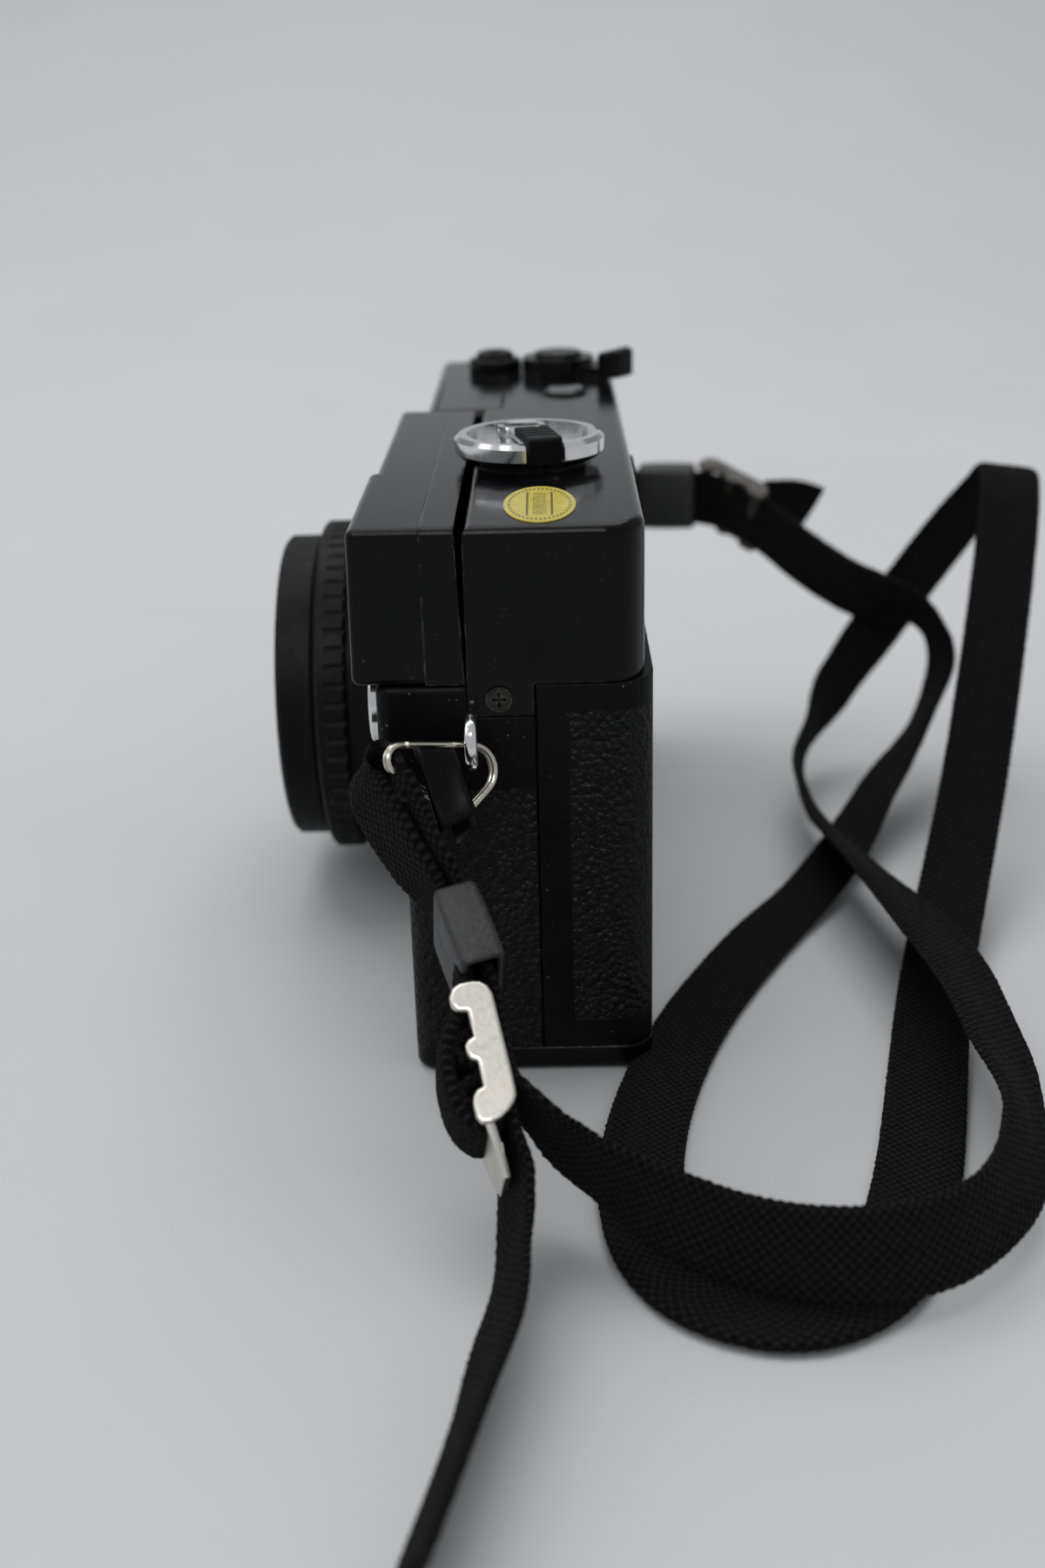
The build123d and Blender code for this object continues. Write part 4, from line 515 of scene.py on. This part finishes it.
# Width direction of the near band from the keeper to the buckle, and the finer mesh of the bands there
keeper_across = (0.62, 0.1, 0.78)
near_step, near_across = 0.26, 22
strap_route = [
    (75.1, -16.7, 46.8), (75.9, -15.6, 45.0), (77.4, -14.1, 41.8), (79.8, -11.9, 38.3), (80.9, -9.1, 34.1),
    (84.7, -6.7, 29.6), (89.1, -5.1, 25.8), (91.8, -3.8, 23.0), (95.7, -3.2, 19.9), (98.7, -2.3, 17.4),
    (100.9, -0.3, 16.6), (104.0, 5.0, 11.8), (114.0, 19.0, 8.2), (118.5, 34.0, 7.8), (114.5, 49.0, 8.0),
    (100.0, 59.0, 9.2), (76.0, 59.5, 11.0), (50.0, 58.0, 11.5), (14.0, 50.2, 9.3), (-14.0, 46.6, 7.0),
    (-36.0, 50.0, 8.5), (-46.0, 58.0, 17.0),
    (-49.5, 66.0, 27.0), (-50.5, 76.0, 41.0), (-48.5, 86.0, 55.5), (-37.0, 86.0, 60.0), (-22.0, 82.0, 47.0),
    (5.0, 73.2, 22.0), (24.0, 66.0, 8.0), (48.0, 58.0, 1.6), (73.0, 52.0, 1.1), (97.0, 46.0, 1.0),
    (114.5, 39.0, 1.0), (121.0, 27.0, 1.0), (113.0, 14.5, 1.0), (92.0, 12.0, 1.0), (63.0, 18.7, 1.0),
    (33.0, 33.0, 1.0), (8.0, 49.0, 1.4), (-14.0, 60.5, 8.0), (-32.0, 73.0, 16.0), (-39.5, 77.0, 25.5),
    (-42.0, 71.0, 33.5), (-46.0, 62.5, 33.5), (-55.0, 53.0, 38.0), (-64.0, 44.5, 44.0), (-71.8, 36.0, 47.5),
    (-74.5, 18.0, 47.3), (-74.8, 5.0, 46.6),
]
# The band's width direction at each point of its route
strap_wide = [
    (0.62, 0.45, 0.64), (0.62, 0.45, 0.64), (0.6, 0.42, 0.67), (0.61, 0.32, 0.72), keeper_across,
    keeper_across, keeper_across, keeper_across, keeper_across, keeper_across,
    (0.45, 0, 0.9), (0.15, -0.1, 0.97),
    (-0.3, 0, 0.95), (-0.42, 0, 0.9), (-0.42, 0, 0.9), (-0.4, -0.4, 0.8), (0, -0.9, 0.5),
    (0, -1, 0.25), (0.1, -0.8, 0.6), (0.3, -0.3, 1), (0.5, 0, 1), (0.3, -0.6, 0.6),
    (0.2, -1, 0.2), (0.2, -0.9, 0.4), (0.3, -0.9, 0.3), (0.1, -1, 0.1), (0, -1, 0),
    (0, -1, 0), (0, -1, 0), (-0.1, -1, 0), (-0.2, -1, 0), (-0.4, -1, 0),
    (-0.9, -0.5, 0), (-1, 0.1, 0), (-0.7, 0.9, 0), (0.2, 1, 0), (0.4, 1, 0),
    (0.5, 1, 0), (0.5, 1, 0.2), (0.5, 0.8, 0.5), (0.7, 0.4, 0.8), (0.8, 0.2, 0.3),
    (0.6, -0.2, 0.9), (0.2, 0.2, 1), (0.1, 0.2, 1), (0.1, 0.1, 1), (0, 0, 1),
    (0, 0, 1), (0, 0, 1),
]
near_tail_route = [(99.0, -3.5, 17.2), (103.0, -2.0, 13.9), (107.0, -1.8, 10.6), (113.5, -2.0, 6.0),
                   (126.0, -3.6, 5.2), (140.0, -6.5, 5.2), (158.6, -11.0, 5.2)]
near_tail_wide = [keeper_across, keeper_across, (0.35, 0.35, 0.85), (0.1, 0.38, 0.93), (0.1, 0.56, 0.83),
                  (0.1, 0.45, 0.89), (0.1, 0.45, 0.89)]
far_tail_route = [(-67.8, 45.4, 46.4), (-68.7, 50.7, 46.7), (-69.9, 55.7, 45.3)]
far_tail_wide = [(0.3, 0, 1), (0.3, 0, 1), (0.5, 0, 0.8)]

strap_path = spline_path("strap_path", strap_route)
strap, strap_points, strap_length = ribbon("strap_band", strap_path, strap_wide, band_width, band_thickness,
                                           plump=0.4)
near_path = spline_path("near_tail_path", near_tail_route)
near_tail, near_points, near_length = ribbon("near_tail", near_path, near_tail_wide, band_width,
                                             band_thickness, step=near_step, across=near_across)
far_path = spline_path("far_tail_path", far_tail_route)
far_tail = ribbon("far_tail", far_path, far_tail_wide, band_width, band_thickness)[0]
for piece, node in ((strap, "strap_webbing"), (near_tail, "strap_tail_near"), (far_tail, "strap_tail_far")):
    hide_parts(node)

# Second layer of the near webbing: over the ring, down through the keeper and into the buckle

wrap_route = [
    (75.8, -16.7, 43.4), (73.8, -16.8, 46.4), (71.8, -18.2, 47.7), (72.2, -20.0, 47.2), (73.9, -19.7, 44.8),
    (76.3, -17.4, 41.9), (79.2, -14.7, 38.1), (81.1, -10.9, 32.9), (85.4, -8.9, 29.3), (89.5, -7.7, 25.8),
    (93.3, -8.5, 22.4), (95.7, -10.1, 20.7), (99.3, -9.8, 17.8), (102.5, -8.4, 15.1), (103.9, -5.5, 13.6),
    (101.7, -3.5, 15.1), (99.5, -3.9, 16.9),
]
wrap_wide = [
    (0.62, 0.46, 0.64), (0.64, 0.42, 0.66), (0.65, 0.38, 0.67), (0.65, 0.38, 0.67), (0.62, 0.42, 0.66),
    (0.6, 0.45, 0.67), (0.61, 0.35, 0.71),
] + [keeper_across] * 10
wrap_thickness = 2.1 * mm
ribbon("near_wrap", spline_path("near_wrap_path", wrap_route), wrap_wide, band_width, wrap_thickness,
       step=near_step, across=near_across)

# Folds of webbing that stand out of the near buckle's two windows

fold_width, fold_thickness = 9.8 * mm, 1.9 * mm
fold_high = [
    (98.0, -4.7, 18.5), (97.4, -7.6, 19.0), (96.6, -9.3, 19.8), (95.3, -9.2, 20.8), (94.6, -6.6, 21.2),
    (94.8, -5.1, 20.8),
]
fold_low = [
    (98.0, -4.4, 18.1), (99.2, -7.4, 17.5), (100.6, -8.7, 16.6), (101.8, -7.4, 15.6), (101.4, -4.4, 15.4),
    (100.5, -3.2, 16.0),
]
for name, route in (("fold_high", fold_high), ("fold_low", fold_low)):
    ribbon(name, spline_path(name + "_path", route), [keeper_across] * len(route), fold_width, fold_thickness,
           step=near_step, across=near_across)


def frame_at(origin, x_dir, z_dir):
    """Matrix of a frame in metres from an origin in millimetres, a rough x direction and a z direction."""
    z = Vector(z_dir).normalized()
    x = Vector(x_dir)
    x = (x - z * x.dot(z)).normalized()
    turn = Matrix((x, z.cross(x), z)).transposed().to_4x4()
    return Matrix.Translation(Vector(origin) * mm) @ turn


def add_object(name, mesh, material, smooth=True):
    """Turn a mesh under construction into a piece that rides on the camera's body."""
    data = bpy.data.meshes.new(name)
    bmesh.ops.recalc_face_normals(mesh, faces=mesh.faces)
    mesh.to_mesh(data)
    mesh.free()
    if smooth:
        data.shade_smooth()
    piece = bpy.data.objects.new(name, data)
    bpy.context.scene.collection.objects.link(piece)
    data.materials.append(material)
    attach(piece, "camera_body")
    return piece


def skin(mesh, rows, closed=False):
    """Faces round and between rows of vertices; the ends are capped, or joined to each other if closed."""
    pairs = list(zip(rows, rows[1:]))
    if closed:
        pairs.append((rows[-1], rows[0]))
    count = len(rows[0])
    for a, b in pairs:
        for k in range(count):
            n = (k + 1) % count
            mesh.faces.new((a[k], a[n], b[n], b[k]))
    if not closed:
        mesh.faces.new(rows[0])
        mesh.faces.new(rows[-1])


def circle_angles(count):
    return [2 * math.pi * k / count for k in range(count)]


def rounded_outline(width, height, corner):
    """Points of a rounded rectangle about the origin, counter-clockwise, in millimetres."""
    steps = 5
    points = []
    for cx, cy, start in ((1, 1, 0), (-1, 1, 90), (-1, -1, 180), (1, -1, 270)):
        for i in range(steps + 1):
            a = math.radians(start + 90 * i / steps)
            points.append((cx * (width / 2 - corner) + corner * math.cos(a),
                           cy * (height / 2 - corner) + corner * math.sin(a)))
    return points


def sleeve(mesh, place, width, depth, length, wall, corner):
    """A moulded keeper: a sleeve with softened rims and slightly swollen flanks, open at both ends."""
    rows = []
    # Each level's share of the length and its swelling; then the bore's levels on the way back
    outer_levels = [(-0.5, 0.90), (-0.47, 0.97), (-0.42, 1.0), (-0.2, 1.02), (0, 1.03), (0.2, 1.02),
                    (0.42, 1.0), (0.47, 0.97), (0.5, 0.90)]
    bore_levels = (0.49, 0.45, 0, -0.45, -0.49)
    for share, grow in outer_levels:
        outline = rounded_outline(width * (0.5 + grow / 2), depth * grow, corner)
        rows.append([mesh.verts.new(place @ (Vector((x, y, share * length)) * mm)) for x, y in outline])
    for share in bore_levels:
        outline = rounded_outline(width - 2 * wall, depth - 2 * wall, max(0.3, corner - wall))
        rows.append([mesh.verts.new(place @ (Vector((x, y, share * length)) * mm)) for x, y in outline])
    skin(mesh, rows, closed=True)


keeper_near = frame_at((85.7, -7.45, 29.35), (0.54, 0.07, 0.84), (-0.76, -0.33, 0.52))
keeper_far = frame_at((-73.15, 27.0, 47.4), (0, 0, 1), (2.7, 18.0, 0.2))
mesh = bmesh.new()
sleeve(mesh, keeper_near, width=13.2, depth=5.4, length=10.8, wall=0.8, corner=0.9)
sleeve(mesh, keeper_far, width=12.4, depth=6.4, length=11.0, wall=0.9, corner=1.5)
keepers = add_object("keeper_sleeves", mesh, keeper_plastic)
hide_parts("strap_keepers")


def flat_plate(name, outline, thickness, bevel):
    """Mesh of a flat plate with bevelled rims, from a loop of points, in millimetres."""
    curve = bpy.data.curves.new(name, "CURVE")
    curve.dimensions = "2D"
    curve.fill_mode = "BOTH"
    curve.extrude = (thickness / 2 - bevel) * mm
    curve.bevel_depth = bevel * mm
    curve.bevel_resolution = 3
    spline = curve.splines.new("POLY")
    spline.points.add(len(outline) - 1)
    for target, (x, y) in zip(spline.points, outline):
        target.co = (x * mm, y * mm, 0, 1)
    spline.use_cyclic_u = True
    carrier = bpy.data.objects.new(name, curve)
    bpy.context.scene.collection.objects.link(carrier)
    bpy.context.view_layer.update()
    plate = bpy.data.meshes.new_from_object(carrier)
    bpy.data.objects.remove(carrier)
    bpy.data.curves.remove(curve)
    return plate


# The buckle, in millimetres: its side wall's outline, then (x, y, half length, half depth) of each crossbar

buckle_profile = [
    (1.2, 0), (0.3, -0.3), (-0.3, -0.9), (-0.5, -1.7), (-0.4, -3.1), (0, -3.8), (0.8, -4.2), (1.6, -4.2),
    (2.1, -3.9), (2.3, -3.4), (2.3, -2.9), (2.7, -2.5), (5.9, -2.5), (6.3, -2.8), (6.5, -3.4), (6.9, -3.7),
    (7.7, -3.7), (8.2, -3.5), (8.4, -3), (8.8, -2.7), (11.9, -2.7), (12.3, -3), (12.5, -3.7), (13, -4.1),
    (13.8, -4.3), (15.2, -4.3), (15.7, -4), (15.8, -3.2), (15.5, -2.2), (14.9, -1.2), (14.1, -0.4),
    (13.5, -0.1), (12.7, 0),
]
buckle_bars = [(1.0, -2.5, 1.25, 1.3), (7.3, -2.8, 0.8, 0.8), (14.0, -2.6, 1.4, 1.3)]
wall_thickness, wall_bevel = 1.15, 0.42
near_wall, far_wall = -0.55, -12.05
buckle_middle = (near_wall + far_wall) / 2
bar_levels = (-0.4, -3.0, -6.3, -9.6, -12.2)
tab_start, tab_length, tab_steps = 14.4, 7.8, 8
# At the tab's root: its place in y, half width and half thickness; then how much each changes to the tip
tab_y, tab_half_width, tab_half_thickness = -3.5, 6.0, 0.55
tab_lean, tab_narrowing, tab_thinning = 0.9, 1.5, 0.2
# Section of the tab: shares of its half width and its half thickness
tab_section = [(-1, 0), (-0.94, 1), (0, 1), (0.94, 1), (1, 0), (0.94, -1), (0, -1), (-0.94, -1)]


def buckle_slide(mesh, place, tab=True):
    """Slide buckle: two notched side walls, three crossbars and a lifting tab.

    x runs down the strap, y into the body side, and z from the far wall to the near one."""
    for level in (near_wall, far_wall):
        wall = flat_plate("buckle_wall", buckle_profile, wall_thickness, wall_bevel)
        for vertex in wall.vertices:
            vertex.co = place @ (vertex.co + Vector((0, 0, level * mm)))
        mesh.from_mesh(wall)
        bpy.data.meshes.remove(wall)
    for x, y, long, deep in buckle_bars:
        rows = []
        for level in bar_levels:
            ring = [Vector((x + long * math.cos(turn), y + deep * math.sin(turn), level))
                    for turn in circle_angles(16)]
            rows.append([mesh.verts.new(place @ (point * mm)) for point in ring])
        skin(mesh, rows)
    if not tab:
        return
    rows = []
    for i in range(tab_steps + 1):
        share = i / tab_steps
        x = tab_start + tab_length * share
        y = tab_y + tab_lean * share
        half = tab_half_width - tab_narrowing * share ** 3
        thick = tab_half_thickness - tab_thinning * share
        rows.append([mesh.verts.new(place @ (Vector((x, y + side * thick, half * z + buckle_middle)) * mm))
                     for z, side in tab_section])
    skin(mesh, rows)


mesh = bmesh.new()
buckle_slide(mesh, frame_at((94.5, -4.85, 29.2), (0.749, 0.222, -0.624), keeper_across))
buckles = add_object("buckle_slides", mesh, silver, smooth=False)
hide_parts("strap_buckles")
# The far buckle takes the dark copy of the silver, as painted shade
mesh = bmesh.new()
buckle_slide(mesh, frame_at((-74.6, 36.2, 54.6), (0.65, 0.7, -0.29), (0.3, 0.1, 0.95)), tab=False)
add_object("far_buckle", mesh, shaded_silver, smooth=False)


# Split rings and lugs

def tube(mesh, points, radius):
    """Round wire along points in metres."""
    rows, side = [], None
    for i, point in enumerate(points):
        a = points[max(0, i - 1)]
        b = points[min(len(points) - 1, i + 1)]
        tangent = (b - a).normalized()
        if side is None:
            side = tangent.orthogonal().normalized()
        side = (side - tangent * side.dot(tangent)).normalized()
        up = tangent.cross(side)
        rows.append([mesh.verts.new(point + radius * (math.cos(turn) * side + math.sin(turn) * up))
                     for turn in circle_angles(12)])
    skin(mesh, rows)


def rounded_corners(corners):
    """Points round a polygon with an arc at each corner: (x, y, radius) in millimetres."""
    steps = 9
    points = []
    for i, (x, y, radius) in enumerate(corners):
        here = Vector((x, y))
        back = (Vector(corners[i - 1][:2]) - here).normalized()
        on = (Vector(corners[(i + 1) % len(corners)][:2]) - here).normalized()
        half = math.acos(max(-1.0, min(1.0, back.dot(on)))) / 2
        reach = radius / math.tan(half)
        centre = here + (back + on).normalized() * (radius / math.sin(half))
        start, end = here + back * reach - centre, here + on * reach - centre
        sweep = math.acos(max(-1.0, min(1.0, start.dot(end) / radius ** 2)))
        sign = 1 if start.x * end.y - start.y * end.x > 0 else -1
        for k in range(steps + 1):
            a = sign * sweep * k / steps
            points.append(centre + Vector((start.x * math.cos(a) - start.y * math.sin(a),
                                           start.x * math.sin(a) + start.y * math.cos(a))))
    return points


def split_ring(mesh, place, corners, wire):
    """One wire wound twice round the outline, stepping over itself once."""
    outline = rounded_corners(corners)
    lengths = [0.0]
    closed = outline + [outline[0]]
    for a, b in zip(closed, closed[1:]):
        lengths.append(lengths[-1] + (b - a).length)
    total = lengths[-1]
    points = []
    count, laps = 160, 1.99
    # The step over the first lap: where it starts and how long it is, in laps, and its rise in wires
    step_start, step_length, rise = 0.86, 0.28, 1.04
    for i in range(count):
        run = laps * total * i / (count - 1)
        rest = run % total
        k = max(j for j in range(len(closed) - 1) if lengths[j] <= rest)
        share = (rest - lengths[k]) / max(1e-9, lengths[k + 1] - lengths[k])
        flat = closed[k].lerp(closed[k + 1], share)
        step = min(1.0, max(0.0, (run / total - step_start) / step_length))
        step = step * step * (3 - 2 * step)
        lift = (step - 0.5) * rise * wire
        points.append(place @ (Vector((flat.x, flat.y, lift)) * mm))
    tube(mesh, points, wire / 2 * mm)


ring_near = frame_at((69.6, -6.89, 49.66), (-0.551, 0.83, -0.088), (0.775, 0.548, 0.315))
ring_far = frame_at((-69.5, -6.85, 47.7), (-0.123, 0.99, -0.065), (-0.469, 0, 0.883))
near_corners = [(-12.7, 1.4, 1.9), (-11.9, -1.7, 1.3), (-2.6, -8.9, 2.0), (8.0, -1.3, 3.2)]
far_corners = [(10.3, 0, 1.5), (-3.7, 0, 1.5), (-0.2, 7.2, 1.5)]
mesh = bmesh.new()
split_ring(mesh, ring_near, near_corners, wire=0.82)
split_ring(mesh, ring_far, far_corners, wire=0.95)
rings = add_object("split_rings", mesh, nickel)
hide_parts("strap_rings")

# Lug eyes, in millimetres: a ring of squarish section, thicker where it meets the body

lug_x, lug_y, lug_z = 68.85, -6.85, 49.6
lug_radius, lug_half_depth, lug_half_wall, lug_root = 2.95, 0.82, 0.9, 0.9


def squarish(share):
    """A sine or cosine pushed towards 1, which squares a circle's section."""
    return math.copysign(abs(share) ** 0.7, share)


mesh = bmesh.new()
for side in (-1, 1):
    centre = Vector((side * lug_x, lug_y, lug_z))
    rows = []
    for heading in circle_angles(40):
        ray = Vector((math.cos(heading), 0, math.sin(heading)))
        half_wall = lug_half_wall + lug_root * max(0.0, -side * ray.x) ** 2
        row = []
        for turn in circle_angles(12):
            out = lug_radius + half_wall * squarish(math.cos(turn))
            across = Vector((0, lug_half_depth * squarish(math.sin(turn)), 0))
            row.append(mesh.verts.new((centre + ray * out + across) * mm))
        rows.append(row)
    skin(mesh, rows, closed=True)
lugs = add_object("lug_eyes", mesh, chrome)
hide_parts("strap_lugs")

# The near ring's vinyl tab, folded over its lower wire

def rim_of(rows):
    """The outer vertices of a grid, in order round it."""
    right = [row[-1] for row in rows[1:]]
    left = [row[0] for row in rows[-2:0:-1]]
    return rows[0] + right + rows[-1][-2::-1] + left


def sheet(mesh, corners, thickness, bow):
    """A soft sheet between four corners, in millimetres, with rounded rims and a bowed middle."""
    columns, lines = 10, 14
    top_left, top_right, low_right, low_left = [Vector(corner) for corner in corners]
    normal = (top_right - top_left).cross(low_left - top_left).normalized()
    sides = []
    for side in (1, -1):
        rows = []
        for j in range(lines + 1):
            v = j / lines
            row = []
            for i in range(columns + 1):
                u = i / columns
                flat = top_left.lerp(top_right, u).lerp(low_left.lerp(low_right, u), v)
                rim = max(abs(2 * u - 1), abs(2 * v - 1)) ** 10
                rise = bow * math.sin(math.pi * u) * math.sin(math.pi * v)
                rise += side * thickness / 2 * math.sqrt(max(0.0, 1 - 0.9 * rim))
                row.append(mesh.verts.new((flat + normal * rise) * mm))
            rows.append(row)
        sides.append(rows)
        for a, b in zip(rows, rows[1:]):
            for i in range(columns):
                mesh.faces.new((a[i], a[i + 1], b[i + 1], b[i]))
    front, back = rim_of(sides[0]), rim_of(sides[1])
    for i in range(len(front)):
        n = (i + 1) % len(front)
        mesh.faces.new((front[i], front[n], back[n], back[i]))


tab_corners = [(75.4, -13.6, 51.6), (73.0, -8.9, 50.3), (76.4, -6.2, 43.0), (78.7, -10.7, 41.6)]
mesh = bmesh.new()
sheet(mesh, tab_corners, thickness=1.2, bow=0.6)
add_object("ring_tab", mesh, vinyl)

# The self-timer lever, deeper than its CAD stand-in below the housing

lever_stretch = 1.45
lever = nodes["self_timer_lever"].data.copy()
lever_top = max(vertex.co.z for vertex in lever.vertices)
for vertex in lever.vertices:
    vertex.co.z = lever_top - (lever_top - vertex.co.z) * lever_stretch
lever_piece = bpy.data.objects.new("timer_lever", lever)
lever_piece.matrix_world = nodes["self_timer_lever"].matrix_world.copy()
bpy.context.scene.collection.objects.link(lever_piece)
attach(lever_piece, "self_timer_lever")
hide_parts("self_timer_lever")

# Floor, backdrop and light

def sweep_floor():
    """A pale floor that curves up into a backdrop behind the object. Its sizes are in metres."""
    front, curve_start, curve_radius, top, half_width = 1.6, -0.45, 1.2, 2.6, 3.0
    steps = 24
    profile = [(front, 0.0), (curve_start, 0.0)]
    for i in range(1, steps + 1):
        turn = math.radians(90 * i / steps)
        profile.append((curve_start - curve_radius * math.sin(turn), curve_radius * (1 - math.cos(turn))))
    profile.append((curve_start - curve_radius, top))
    mesh = bmesh.new()
    rows = []
    for x, z in profile:
        rows.append([mesh.verts.new((x, y, z)) for y in (-half_width, half_width)])
    for a, b in zip(rows, rows[1:]):
        face = mesh.faces.new((a[0], a[1], b[1], b[0]))
        face.smooth = True
    data = bpy.data.meshes.new("floor")
    mesh.to_mesh(data)
    mesh.free()
    floor = bpy.data.objects.new("floor", data)
    bpy.context.scene.collection.objects.link(floor)
    tree = Tree("floor")
    cloud = tree.noise(9, 3, 0.5)
    colour = tree.blend(tree.remap(cloud, 0.3, 0.7), (0.60, 0.605, 0.618), (0.635, 0.64, 0.65))
    split = tree.put("ShaderNodeSeparateXYZ")
    tree.join(tree.place(), split.inputs[0])
    # Painted shade: the colour darkens towards the back and up the backdrop, where less light falls
    colour = tree.blend(tree.remap(split.outputs["X"], 0.1, -1.5), colour, (0.50, 0.505, 0.52))
    speck = tree.remap(tree.cells(260), 0.05, 0.03)
    colour = tree.blend(tree.math("MULTIPLY", speck, 0.3), colour, (0.35, 0.33, 0.30))
    tree.join(colour, tree.shader.inputs["Base Color"])
    tree.shader.inputs["Roughness"].default_value = 0.7
    tree.shader.inputs["Specular IOR Level"].default_value = 0.2
    data.materials.append(tree.material)


sweep_floor()


def area_light(name, place, target, size, energy):
    """A rectangular light in metres and watts, turned towards a target."""
    data = bpy.data.lights.new(name, "AREA")
    data.shape = "RECTANGLE"
    data.size, data.size_y = size
    data.energy = energy
    lamp = bpy.data.objects.new(name, data)
    bpy.context.scene.collection.objects.link(lamp)
    lamp.location = place
    lamp.rotation_euler = (Vector(target) - Vector(place)).to_track_quat("-Z", "Y").to_euler()
    return lamp


area_light("key", (-0.5, -0.1, 1.2), (0, 0.02, 0.03), (1.3, 1.3), 10.5)
area_light("fill", (0.1, -1.1, 0.9), (0, -0.1, 0.03), (1.0, 1.0), 3.0)
rim = area_light("rim", (1.15, -0.05, 1.2), (0, 0, 0.06), (0.9, 0.15), 10.5)
rim.visible_diffuse = False
sky_colour, sky_strength = (0.60, 0.61, 0.63, 1), 0.74
world = bpy.data.worlds.new("studio")
bpy.context.scene.world = world
world.use_nodes = True
background = world.node_tree.nodes["Background"]
background.inputs["Color"].default_value = sky_colour
background.inputs["Strength"].default_value = sky_strength

bpy.context.scene.view_settings.view_transform = "Standard"
